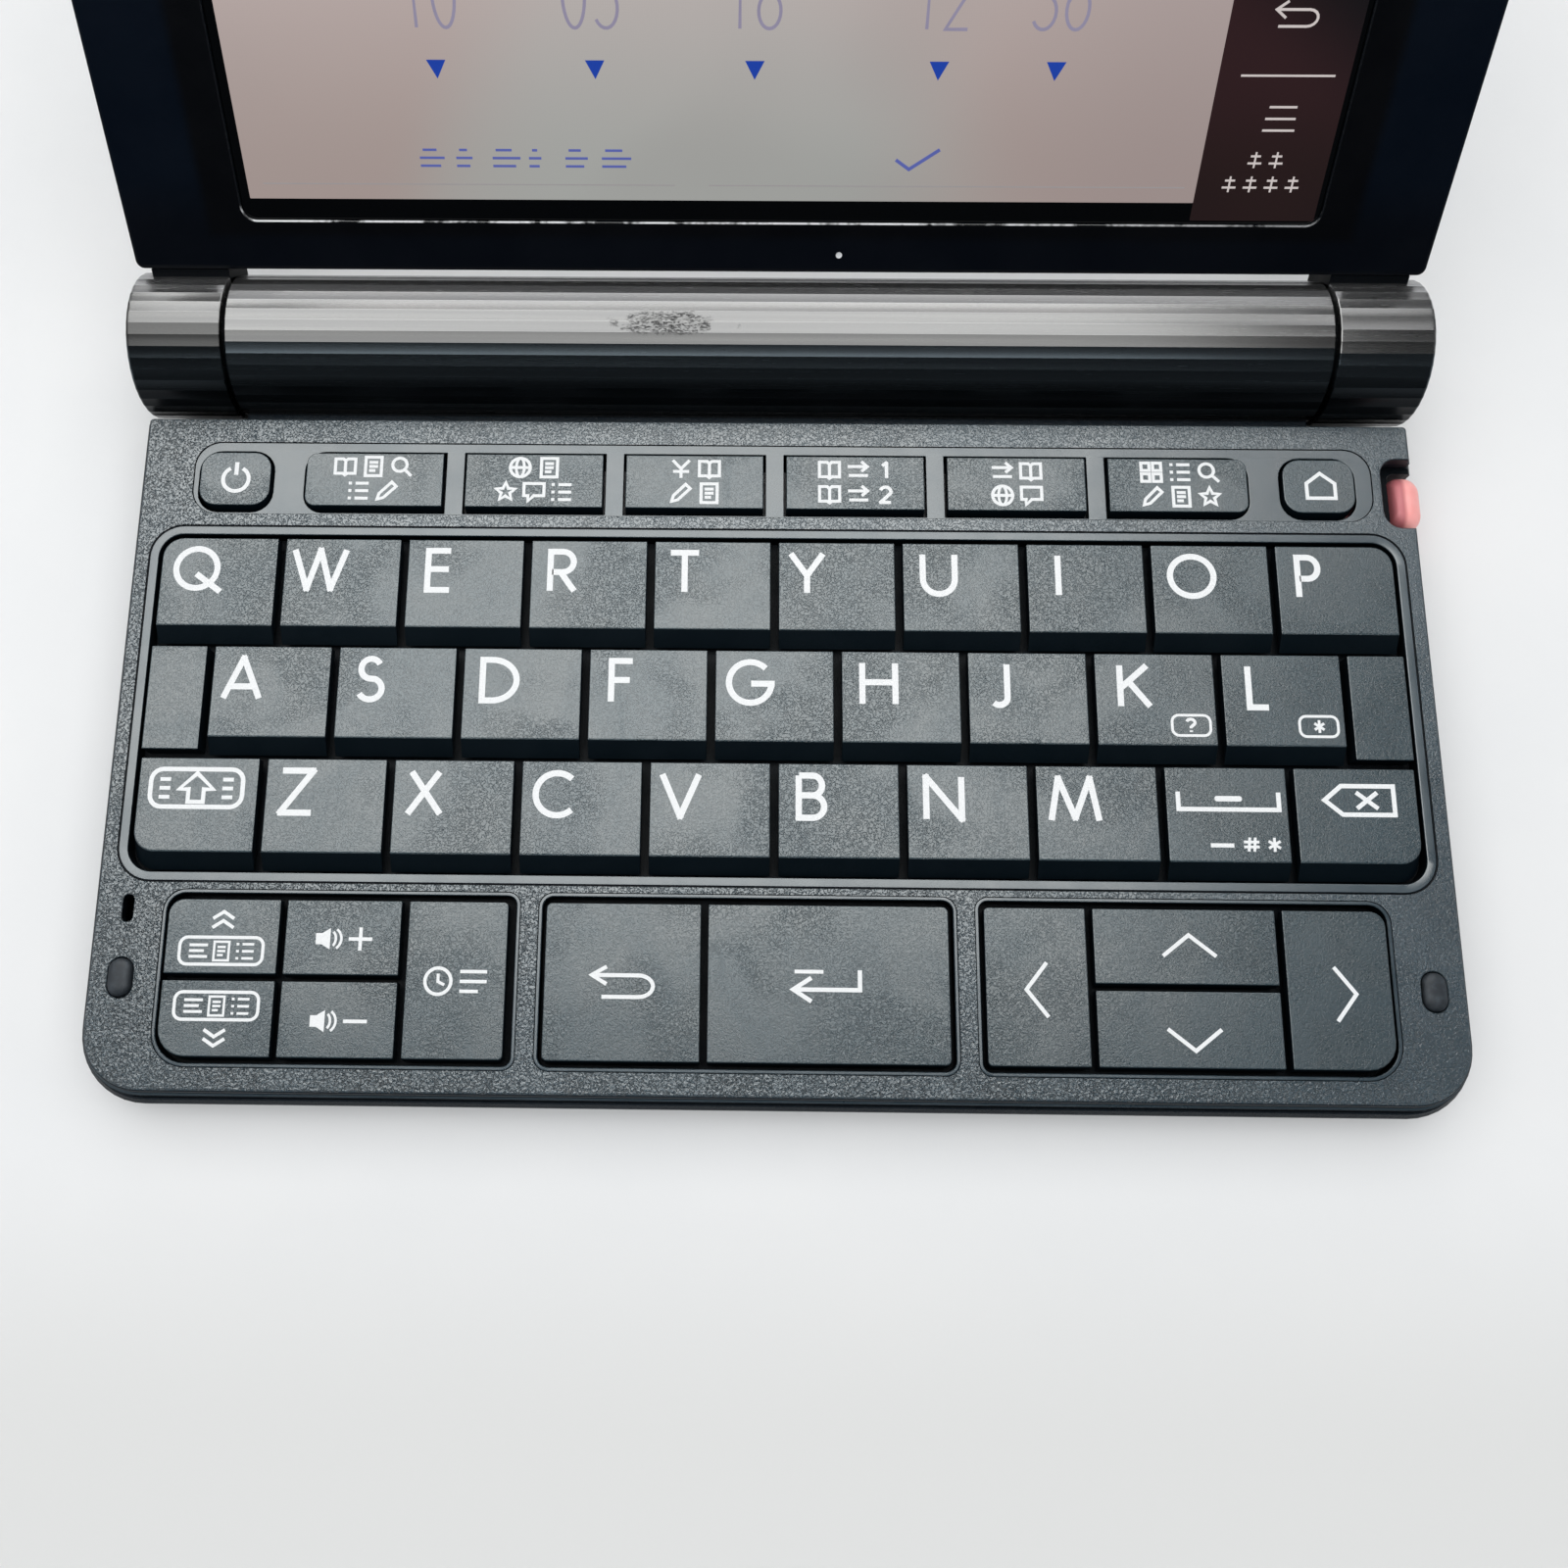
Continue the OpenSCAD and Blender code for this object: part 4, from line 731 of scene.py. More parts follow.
def letter(ch, W, H):
    """centre lines of a plain geometric capital or digit in a W by H box"""
    c = (W / 2, H / 2)
    S = {
        "A": [[(0, 0), (W / 2, H), (W, 0)], [(W * .17, H * .29), (W * .83, H * .29)]],
        "B": [[(W * .02, H * .53), (W * .56, H * .53)] + arc(W * .56, H * .765, W * .36, H * .235, -90, 90, 10)[1:] + [(W * .02, H)], [(0, H), (0, 0), (W * .55, 0)] + arc(W * .55, H * .265, W * .45, H * .265, -90, 90, 12)[1:] + [(W * .25, H * .53)]],
        "C": [arc(H / 2, H / 2, H / 2, H / 2, 47, 313, 30)],
        "D": [[(0, 0), (0, H), (W - H * .58, H)] + arc(W - H * .58, H / 2, H * .58, H / 2, 90, -90, 22)[1:] + [(0, 0)]],
        "E": [[(W, H), (0, H), (0, 0), (W, 0)], [(0, H * .53), (W * .94, H * .53)]],
        "F": [[(W, H), (0, H), (0, 0)], [(0, H * .53), (W * .88, H * .53)]],
        "G": [arc(c[0], c[1], W / 2, H / 2, 44, 356, 36), [(W * .52, H * .47), (W + .34, H * .47)]],
        "H": [[(0, 0), (0, H)], [(W, 0), (W, H)], [(0, H * .53), (W, H * .53)]],
        "I": [[(0, 0), (0, H)]],
        "J": [[(W, H), (W, H * .2)] + arc(W - H * .19, H * .19, H * .19, H * .19, 0, -135, 10)[1:]],
        "K": [[(0, 0), (0, H)], [(W * .94, H), (0.02, H * .44)], [(W * .30, H * .60), (W, 0)]],
        "L": [[(0, H), (0, 0), (W, 0)]],
        "M": [[(0, 0), (W * .17, H), (W / 2, H * .06), (W * .83, H), (W, 0)]],
        "N": [[(0, 0), (0, H), (W, 0), (W, H)]],
        "O": [arc(c[0], c[1], W / 2, H / 2, 0, 360, 44)],
        "P": [[(0, 0), (0, H), (W * .5, H)] + arc(W * .5, H * .73, W * .5, H * .27, 90, -90, 12)[1:] + [(.2, H * .46)]],
        "Q": [arc(H / 2, H / 2, H / 2, H / 2, 0, 360, 44), [(H * .50, H * .36), (W, -H * .09)]],
        "R": [[(0, 0), (0, H), (W * .5, H)] + arc(W * .5, H * .74, W * .45, H * .26, 90, -90, 12)[1:] + [(.2, H * .48)], [(W * .42, H * .48), (W, 0)]],
        "S": [arc(W * .5, H * .755, W * .42, H * .245, 28, 262, 18) + arc(W * .5, H * .26, W * .5, H * .26, 80, -152, 20)[1:]],
        "T": [[(0, H), (W, H)], [(W / 2, H), (W / 2, 0)]],
        "U": [[(0, H), (0, W / 2)] + arc(W / 2, W / 2, W / 2, W / 2, 180, 360, 18)[1:] + [(W, H)]],
        "V": [[(0, H), (W / 2, 0), (W, H)]],
        "W": [[(0, H), (W * .27, 0), (W * .5, H), (W * .73, 0), (W, H)]],
        "X": [[(0, 0), (W * .93, H)], [(W, 0), (W * .07, H)]],
        "Y": [[(0, H), (W / 2, H * .44), (W, H)], [(W / 2, H * .44), (W / 2, 0)]],
        "Z": [[(0, H), (W, H), (0, 0), (W, 0)]],
        "0": [arc(c[0], c[1], W / 2, H / 2, 0, 360, 36)],
        "1": [[(W * .2, H * .80), (W * .62, H), (W * .62, 0)]],
        "2": [arc(W / 2, H * .72, W / 2, H * .28, 165, -35, 16) + [(0, 0), (W, 0)]],
        "3": [arc(W * .48, H * .755, W * .44, H * .245, 150, -90, 14) + arc(W * .48, H * .255, W * .52, H * .255, 90, -150, 14)[1:]],
        "4": [[(W * .78, 0), (W * .78, H), (0, H * .27), (W, H * .27)]],
        "5": [[(W * .9, H), (W * .18, H), (W * .08, H * .55)] + arc(W * .46, H * .31, W * .54, H * .31, 130, -145, 18)],
        "6": [arc(W / 2, H * .31, W / 2, H * .31, 0, 360, 24), [(W * .72, H), (W * .05, H * .42)]],
        "7": [[(0, H), (W, H), (W * .3, 0)]],
        "8": [arc(W / 2, H * .76, W * .42, H * .24, 0, 360, 24), arc(W / 2, H * .27, W * .5, H * .27, 0, 360, 24)],
        "9": [arc(W / 2, H * .69, W / 2, H * .31, 0, 360, 24), [(W * .95, H * .58), (W * .28, 0)]],
        "?": [arc(W / 2, H * .74, W / 2, H * .26, 165, -60, 14) + [(W / 2, H * .36), (W / 2, H * .27)], [(W / 2, H * .10), (W / 2, -H * .03)]],
        "*": [[(W / 2, H), (W / 2, 0)], [(W * .07, H * .75), (W * .93, H * .25)], [(W * .93, H * .75), (W * .07, H * .25)]],
        "#": [[(W * .30, 0), (W * .40, H)], [(W * .66, 0), (W * .76, H)], [(0, H * .33), (W, H * .33)], [(0, H * .68), (W, H * .68)]],
    }
    return S[ch]

def at_sharp(st, ext):
    """splits a stroke at its sharp turns and lets both parts run a little past the turn"""
    out, cur = [], [st[0]]
    for i in range(1, len(st)):
        cur.append(st[i])
        if i < len(st) - 1:
            a, b, c = st[i - 1], st[i], st[i + 1]
            du, dv = hypot(b[0] - a[0], b[1] - a[1]), hypot(c[0] - b[0], c[1] - b[1])
            if du < 1e-5 or dv < 1e-5: continue
            u = ((b[0] - a[0]) / du, (b[1] - a[1]) / du); v = ((c[0] - b[0]) / dv, (c[1] - b[1]) / dv)
            if u[0] * v[0] + u[1] * v[1] < -0.3:
                cur[-1] = (b[0] + u[0] * ext, b[1] + u[1] * ext); out.append(cur)
                cur = [(b[0] - v[0] * ext, b[1] - v[1] * ext)]
    out.append(cur)
    return out

class Print:
    """collects printed strokes on one face; every stroke lies a little higher than the last, so none coincide"""
    def __init__(s, z, w=0.7, flip=1, x0=0.0, y0=0.0, m=0):
        s.M = Mesh(); s.z = z; s.w = w; s.flip = flip; s.x0 = x0; s.y0 = y0; s.k = 0; s.m = m
    def up(s):
        s.k += 1; return s.z + s.flip * 0.0016 * s.k
    def line(s, pts, w=None, closed=False, m=None):
        ribbon(s.M, pts, w or s.w, s.up(), s.flip, s.m if m is None else m, closed, 0.018 + 0.0016 * s.k, s.x0, s.y0)
    def solid(s, pts, m=None):
        blob(s.M, pts, s.up(), s.flip, s.m if m is None else m, 0.018 + 0.0016 * s.k, s.x0, s.y0)
    def text(s, ch, x0, y0, x1, y1, w=None):
        """a glyph whose ink fills the box"""
        w = w or s.w
        if ch in "QO0DG8": pass
        for st in letter(ch, x1 - x0 - w if ch != "I" else 0, y1 - y0 - w):
            cl = len(st) > 8 and hypot(st[0][0] - st[-1][0], st[0][1] - st[-1][1]) < 1e-6
            for q in ([st] if cl else at_sharp(st, w * 0.36)):
                s.line([(x0 + w / 2 + x, y0 + w / 2 + y) for x, y in q], w, cl)
    def box(s, x0, y0, x1, y1, r, w=None):
        w = w or s.w
        s.line(rect(x0 + w / 2, y0 + w / 2, x1 - w / 2, y1 - w / 2, (r,) * 4, 0, 5), w, True)
    def icon(s, name, x, y, a, w=None):
        """a small generic sign in the square of side a at x, y"""
        w = w or s.w
        def P(*q): return [(x + u * a, y + v * a) for u, v in q]
        L = lambda *q, c=False: s.line(P(*q), w, c)
        if name == "book":
            L((0, .12), (0, .9), (.38, .9), (.5, .8), (.62, .9), (1, .9), (1, .12), (.62, .12), (.5, .03), (.38, .12), c=True); L((.5, .06), (.5, .78))
        elif name == "page":
            L((.1, 0), (.9, 0), (.9, 1), (.1, 1), c=True); L((.28, .72), (.72, .72)); L((.28, .5), (.72, .5)); L((.28, .28), (.6, .28))
        elif name == "globe":
            s.line(arc(x + a / 2, y + a / 2, a / 2, a / 2, 0, 360, 28), w, True); s.line(arc(x + a / 2, y + a / 2, a * .2, a / 2, 0, 360, 24), w * .9, True); L((.03, .5), (.97, .5))
        elif name == "grid":
            for u in (0, .58):
                for v in (0, .58): L((u, v), (u + .4, v), (u + .4, v + .4), (u, v + .4), c=True)
        elif name == "list":
            for v in (.1, .5, .9): L((.34, v), (1, v)); L((0, v), (.16, v))
        elif name == "speech":
            L((0, .3), (0, .95), (1, .95), (1, .3), (.5, .3), (.22, .02), (.22, .3), c=True)
        elif name == "pencil":
            L((.05, .05), (.14, .36), (.74, .97), (.97, .74), (.36, .14), c=True)
        elif name == "lens":
            s.line(arc(x + a * .4, y + a * .6, a * .36, a * .36, 0, 360, 24), w, True); L((.66, .34), (1, 0))
        elif name == "swap":
            L((0, .68), (.95, .68)); L((.68, .95), (.98, .68), (.68, .42)); L((1, .2), (.05, .2))
        elif name == "star":
            q = [(.5 + (.5 if i % 2 == 0 else .22) * sin(pi * i / 5), .5 + (.5 if i % 2 == 0 else .22) * cos(pi * i / 5)) for i in range(10)]
            L(*q, c=True)
        elif name == "leaf":
            L((.5, 0), (.5, .55)); L((.08, .95), (.5, .5), (.92, .95)); L((.1, .35), (.9, .35))
        elif name == "eye":
            s.line(arc(x + a / 2, y + a * .1, a * .58, a * .7, 35, 145, 12) + arc(x + a / 2, y + a * .9, a * .58, a * .7, 215, 325, 12), w, True); s.line(arc(x + a / 2, y + a / 2, a * .14, a * .14, 0, 360, 12), w, True)
    def done(s, name, mats, body, xf=None, slot=None):
        return s.M.obj(name, mats, body, xf, angle=60, weighted=False, slot=slot)

# ink boxes of the letters, from the key's rear left corner: left, right
INK = {"q": (1.1, 7.1), "w": (0.55, 7.2), "e": (1.85, 5.1), "r": (1.8, 5.3), "t": (1.45, 5.4), "y": (1.1, 5.5), "u": (2.05, 6.4), "i": (3.35, 4.05), "o": (1.95, 7.6), "p": (2.35, 5.35),
       "a": (0.8, 5.55), "s": (1.85, 5.2), "d": (1.7, 6.25), "f": (2.1, 5.15), "g": (1.2, 6.7), "h": (2.05, 6.45), "j": (2.5, 4.85), "k": (2.65, 6.6), "l": (2.85, 5.65),
       "z": (1.2, 5.35), "x": (1.2, 5.5), "c": (1.15, 5.95), "v": (1.0, 5.75), "b": (1.95, 5.45), "n": (1.85, 6.45), "m": (1.4, 7.35)}
ZP = KTOP + 0.004

def key_object(node, x0, x1, yr, d, skirt, z0, r, stem=None, bar=None, draw=None, off=(0, 0)):
    M = Mesh()
    low = cap(M, x0, x1, yr, d, skirt, z0, r)
    if stem:
        sx, sy, sw, sd = stem
        q = rect(sx - sw / 2, sy - sd / 2, sx + sw / 2, sy + sd / 2, (0.3,) * 4, 0, 2)
        a = M.ring(q, z0); b = M.ring(q, 4.75); c = M.ring(rect(sx - sw / 2, sy - sd / 2, sx + sw / 2, sy + sd / 2, (0.3,) * 4, -0.1, 2), 4.7)
        M.fill([low, a], 1); M.bridge(a, b, 1); M.bridge(b, c, 1); M.face(c, 1)
    else: M.face(low, 1)
    if bar: M.block(bar[0] - 1.15, bar[1], bar[0] + 1.15, bar[1] + 0.6, KTOP - 0.1, KTOP + 0.12, (0.25,) * 4, 0.1, 0)
    o = M.obj(node + "_cap", [key_top, key_side_shade], node, slot="key_plastic")
    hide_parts(node)
    if draw:
        P = Print(ZP, 0.7, 1, x0 + off[0], yr + off[1])
        draw(P)
        P.done(node + "_legend", [legend], node)
    return o

def letters():
    rows = ["qwertyuiop", "asdfghjkl", "#zxcvbnm##"]
    for row, names in enumerate(rows):
        top = (-1.45, -1.52, -1.58)[row]; dy = (0.43, 0.50, 0.57)[row]
        for col, ch in enumerate(names):
            if ch == "#": continue
            x = kx(row, col); yr = ky(row)
            def draw(P, ch=ch, top=top):
                a, b = INK[ch]
                P.text(ch.upper(), a, top - 5.42, b, top + 0.03, 0.70)
                if ch in "kl":
                    P.box(8.4, -10.05, 12.95, -7.42, 0.75, 0.3)
                    if ch == "k": P.text("?", 10.0, -9.62, 11.25, -7.86, 0.34)
                    else: P.text("*", 9.95, -9.62, 11.5, -7.86, 0.30)
            r = (0.05, 0.05, 0.05, 2.3) if ch == "q" else (0.05, 0.05, 2.3, 0.05) if ch == "p" else (0.05,) * 4
            key_object("key_" + ch, x - 6.625, x + 6.625, yr, 10.45, 1.95, 7.0, r, (x, yr - 6.1, 8, 6), (x, yr - 10.55) if ch in "fj" else None, draw, (-(ROWX[row] + col) * 0.07 - 0.05, dy))
    def shift(P):
        P.box(0.85, -6.35, 11.6, -1.6, 1.3, 0.5)
        P.line([(6.2, -2.3), (4.3, -4.1), (5.35, -4.1), (5.35, -5.55), (7.05, -5.55), (7.05, -4.1), (8.1, -4.1)], 0.46, True)
        P.line([(2.1, -3.0), (3.3, -3.0)], 0.42); P.line([(2.1, -4.0), (3.3, -4.0)], 0.42); P.line([(2.1, -5.0), (3.3, -5.0)], 0.42)
        P.line([(9.1, -3.0), (10.3, -3.0)], 0.42); P.line([(9.1, -4.0), (10.3, -4.0)], 0.42); P.line([(9.1, -5.0), (10.3, -5.0)], 0.42)
    def space(P):
        P.line([(1.6, -3.3), (1.6, -5.25), (12.6, -5.25), (12.6, -3.3)], 0.5)
        P.solid(rect(5.6, -4.35, 8.6, -3.75, (0.25,) * 4, 0, 3))
        P.line([(4.85, -9.25), (7.4, -9.25)], 0.45)
        P.text("#", 8.3, -10.05, 10.3, -8.2, 0.3); P.text("*", 10.9, -10.05, 12.7, -8.2, 0.3)
    def delete(P):
        P.line([(3.5, -4.1), (5.4, -2.5), (11.1, -2.5), (11.1, -5.7), (5.4, -5.7)], 0.5, True)
        P.line([(7.0, -3.2), (9.3, -5.0)], 0.48); P.line([(9.3, -3.2), (7.0, -5.0)], 0.48)
    for node, col, r, dr in (("key_shift", 0, (2.3, 0.05, 0.05, 0.05), shift), ("key_space", 8, (0.05,) * 4, space), ("key_delete", 9, (0.05, 2.3, 0.05, 0.05), delete)):
        x = kx(2, col)
        key_object(node, x - 6.625, x + 6.625, ky(2), 10.45, 1.95, 7.0, r, (x, ky(2) - 6.1, 8, 6), None, dr, (-(ROWX[2] + col) * 0.07 - 0.05, 0.57))

def subject_keys():
    sets = [(("book", 3.6), ("page", 6.9), ("lens", 10.2)), (("globe", 5.3), ("page", 8.7)), (("leaf", 5.3), ("book", 8.6)), (("book", 3.8), ("swap", 7.1), ("1", 10.7)), (("swap", 5.05), ("book", 8.4)), (("grid", 3.6), ("list", 6.9), ("lens", 10.2))]
    sets2 = [(("list", 5.3), ("pencil", 8.6)), (("star", 3.7), ("speech", 7.0), ("list", 10.2)), (("pencil", 5.3), ("page", 8.6)), (("book", 3.8), ("swap", 7.1), ("2", 10.7)), (("globe", 5.05), ("speech", 8.4)), (("pencil", 3.6), ("page", 6.9), ("star", 10.2))]
    for i in range(6):
        x = (i - 2.5) * 18.69
        def draw(P, i=i):
            for y, st in ((-3.1, sets[i]), (-6.15, sets2[i])):
                for name, px in st:
                    if name in "12": P.text(name, px, y, px + 1.6, y + 2.3, 0.40)
                    else: P.icon(name, px + 0.04, y + 0.02, 2.33, 0.36)
        r = (1.2, 0.05, 0.05, 1.2) if i == 0 else (0.05, 1.2, 1.2, 0.05) if i == 5 else (0.05,) * 4
        key_object("key_f%d" % (i + 1), x - 8.0, x + 8.0, FR_, FD, 0.4, 6.75, r, None, None, draw, (0.09 * (i - 2.5) - 0.05, 0.25))
    def power(P):
        P.line([(4.38 + u, -3.62 + v) for u, v in arc(0, 0, 1.5, 1.5, 118, 422, 30)], 0.46)
        P.line([(4.38, -1.5), (4.38, -3.1)], 0.48)
    def home(P):
        P.line([(2.42, -3.2), (4.05, -1.95), (5.68, -3.2), (5.68, -5.02), (2.42, -5.02)], 0.42, True)
    key_object("key_power", -67.1, -58.9, FR_, FD, 0.4, 6.75, (2,) * 4, None, None, power, (-0.2, 0.25))
    key_object("key_home", 58.85, 67.05, FR_, FD, 0.4, 6.75, (2,) * 4, None, None, home, (0.25, 0.25))

def low_keys():
    s5, q, c = 0.38, (0.05,) * 4, 0.05
    def speaker(P, plus, y=-4.15):
        P.solid([(3.08, y - 0.6), (3.75, y - 0.6), (4.65, y - 1.15), (4.65, y + 1.15), (3.75, y + 0.6), (3.08, y + 0.6)])
        P.line([(5.0 + 0.75 * cos(t / 10) - 0.5, y + 0.95 * sin(t / 10)) for t in range(-9, 10)], 0.27)
        P.line([(5.0 + 1.35 * cos(t / 10) - 0.5, y + 1.3 * sin(t / 10)) for t in range(-9, 10)], 0.27)
        P.line([(6.65, y), (9.2, y)], 0.38)
        if plus: P.line([(7.92, y - 1.25), (7.92, y + 1.25)], 0.38)
    def chev(P, x, y, w_, h, sgn, k=0.36):
        P.line([(x - w_ / 2, y - sgn * h / 2), (x, y + sgn * h / 2), (x + w_ / 2, y - sgn * h / 2)], k)
    def label(P, y):
        P.box(1.38, y, 10.75, y + 3.25, 0.85, 0.34)
        P.line([(2.6, y + 1.0), (4.6, y + 1.0)], 0.3); P.line([(2.6, y + 1.62), (4.2, y + 1.62)], 0.3); P.line([(2.6, y + 2.24), (4.6, y + 2.24)], 0.3)
        P.icon("page", 5.1, y + 0.6, 2.0, 0.25); P.icon("list", 7.7, y + 0.65, 1.9, 0.27)
    def prev(P): chev(P, 6.05, -1.72, 2.3, 0.75, 1); chev(P, 6.05, -2.7, 2.3, 0.75, 1); label(P, -7.2)
    def nxt(P): chev(P, 6.1, -5.55, 2.3, 0.75, -1); chev(P, 6.1, -6.5, 2.3, 0.75, -1); label(P, -4.3)
    def hist(P):
        P.line(arc(3.25, -8.55, 1.4, 1.4, 0, 360, 30), 0.36, True); P.line([(3.25, -7.75), (3.25, -8.6), (3.95, -8.95)], 0.32)
        P.line([(5.6, -7.5), (8.5, -7.5)], 0.36); P.line([(5.6, -8.55), (8.5, -8.55)], 0.36); P.line([(5.6, -9.6), (7.6, -9.6)], 0.36)
    def back(P):
        P.line([(6.2, -10.0), (10.1, -10.0)] + arc(10.1, -8.85, 1.6, 1.15, -90, 90, 12)[1:] + [(5.2, -7.7)], 0.42)
        P.line([(6.7, -6.8), (5.1, -7.7), (6.7, -8.65)], 0.42)
    def enter(P):
        P.line([(16.3, -6.9), (16.3, -9.0), (9.3, -9.0)], 0.46); P.line([(11.1, -7.75), (9.15, -9.0), (11.1, -10.25)], 0.46)
        P.line([(9.3, -7.1), (12.4, -7.1)], 0.40)
    def left(P): P.line([(6.55, -5.85), (4.3, -8.73), (6.55, -11.6)], 0.42)
    def right(P): P.line([(5.05, -6.0), (7.25, -8.83), (5.05, -11.7)], 0.42)
    def up(P): P.line([(7.35, -5.0), (10.2, -2.75), (13.05, -5.0)], 0.42)
    def down(P): P.line([(7.4, -3.95), (10.25, -6.2), (13.1, -3.95)], 0.42)
    T = [("key_previous", -65.75, -53.6, LR, LM + s5, (c, c, c, 1.6), 7, 4, prev), ("key_next", -65.75, -53.6, LM - s5, LF, (3, c, c, c), 7, 4, nxt),
         ("key_volume_up", -52.85, -40.4, LR, LM + s5, q, 7, 4, lambda P: speaker(P, True)), ("key_volume_down", -52.85, -40.4, LM - s5, LF, q, 7, 4, lambda P: speaker(P, False)),
         ("key_history", -39.55, -28.8, LR, LF, (c, .5, .5, c), 5, 10, hist), ("key_back", -24.65, -7.9, LR, LF, (.6, c, c, .6), 9, 10, back), ("key_enter", -7.1, 18.8, LR, LF, (c, .6, .6, c), 15, 10, enter),
         ("key_left", 22.65, 33.55, LR, LF, (.5, c, c, .5), 5, 10, left), ("key_up", 34.35, 53.95, LR, LM + s5, q, 7, 4, up), ("key_down", 34.35, 53.95, LM - s5, LF, q, 7, 4, down),
         ("key_right", 54.75, 65.75, LR, LF, (c, 3, 1.6, c), 5, 10, right)]
    for node, x0, x1, y0, y1, r, w_, d_, dr in T:
        off = (0.25, 0) if "volume" in node or "history" in node else (0, 0)
        key_object(node, x0, x1, y0, y0 - y1, 0.25, 7.0, r, ((x0 + x1) / 2, (y0 + y1) / 2, w_, d_), None, dr, off)

# ------------------------------------------------------------------ hinge barrel

RB, RC, TB, TC = 8.2, 8.4, 6.2, 1.1
def facet_r(a, turn=TB, R=RB):
    """radius of the fluted bar at angle a in degrees; every facet is slightly hollow"""
    u = (a - turn) % 9.0
    return R * cos(radians(4.5)) / cos(radians(u - 4.5)) - 0.024 * 4 * (u / 9) * (1 - u / 9)
def angles(turn, a0, a1, ends=()):
    q = [turn + 9 * k + 1.8 * j for k in range(-42, 42) for j in range(5)]
    return sorted(set([round(v, 4) for v in q if a0 < v < a1] + list(ends)))
def at(x, r, a): return (x, AY + r * cos(radians(a)), AZ + r * sin(radians(a)))

def barrel():
    M = Mesh()
    A = angles(TB, -180.0, 180.0, (-140.0, -40.0))
    n = len(A)
    X = [-63.0, -62.8, -47.55, 46.8, 62.8, 63.0]
    cut = [-0.22, 0, 0, 0, 0, -0.22]
    out = [[M.add([at(x, facet_r(a) + c, a)])[0] for a in A] for x, c in zip(X, cut)]
    ia, ib = A.index(-140.0), A.index(-40.0)
    def open_cell(i, j): return i == 2 and ia <= j < ib
    for i in range(len(X) - 1):
        for j in range(n):
            if not open_cell(i, j):
                k = (j + 1) % n; M.face((out[i][j], out[i][k], out[i + 1][k], out[i + 1][j]))
    XI = [-48.6, -47.55, 46.8, 46.9]
    inn = [[M.add([at(x, 6.5, a)])[0] for a in A] for x in XI]
    for i in range(3):
        for j in range(n):
            if not (i == 1 and ia <= j < ib):
                k = (j + 1) % n; M.face((inn[i][j], inn[i][k], inn[i + 1][k], inn[i + 1][j]), 1)
    M.face(inn[0], 1); M.face(inn[3], 1)
    for j in (ia, ib): M.face((out[2][j], out[3][j], inn[2][j], inn[1][j]), 1)
    for a_, b_ in ((2, 1), (3, 2)):
        for j in range(ia, ib): M.face((out[a_][j], out[a_][j + 1], inn[b_][j + 1], inn[b_][j]), 1)
    for i, s in ((0, -1), (5, 1)):
        g = [M.add([at(s * 63.0, 7.2, a) for a in A]), M.add([at(s * 62.75, 7.15, a) for a in A]), M.add([at(s * 62.75, 3.3, a) for a in A]), M.add([at(s * 62.9, 3.05, a) for a in A]), M.add([at(s * 52.0, 3.05, a) for a in A])]
        M.bridge(out[i], g[0]); M.chain(g, 1); M.face(g[-1], 1)
    # floor of the thumb recess
    P = []
    for r, x in ((6.52, 42.9), (6.52, 47.0), (5.7, 47.0), (5.7, 42.9)):
        P.append(M.add([at(x, r, -146 + 112 * i / 16) for i in range(17)]))
    for i in range(4): M.bridge(P[i], P[(i + 1) % 4], 1, False)
    M.face([p[0] for p in P], 1); M.face([p[-1] for p in P], 1)
    o = M.obj("barrel", [barrel_metal, recess_shade], "base", angle=8, weighted=False, slot="barrel_metal")
    K = Mesh()
    K.block(-62.7, REAR, 62.7, 9.2, 2.4, 7.1, (0.2,) * 4, 0.15)
    p = K.obj("barrel_neck", [case_grain], "base", slot="barrel_metal")
    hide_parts("hinge_barrel"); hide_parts("hinge_barrel")

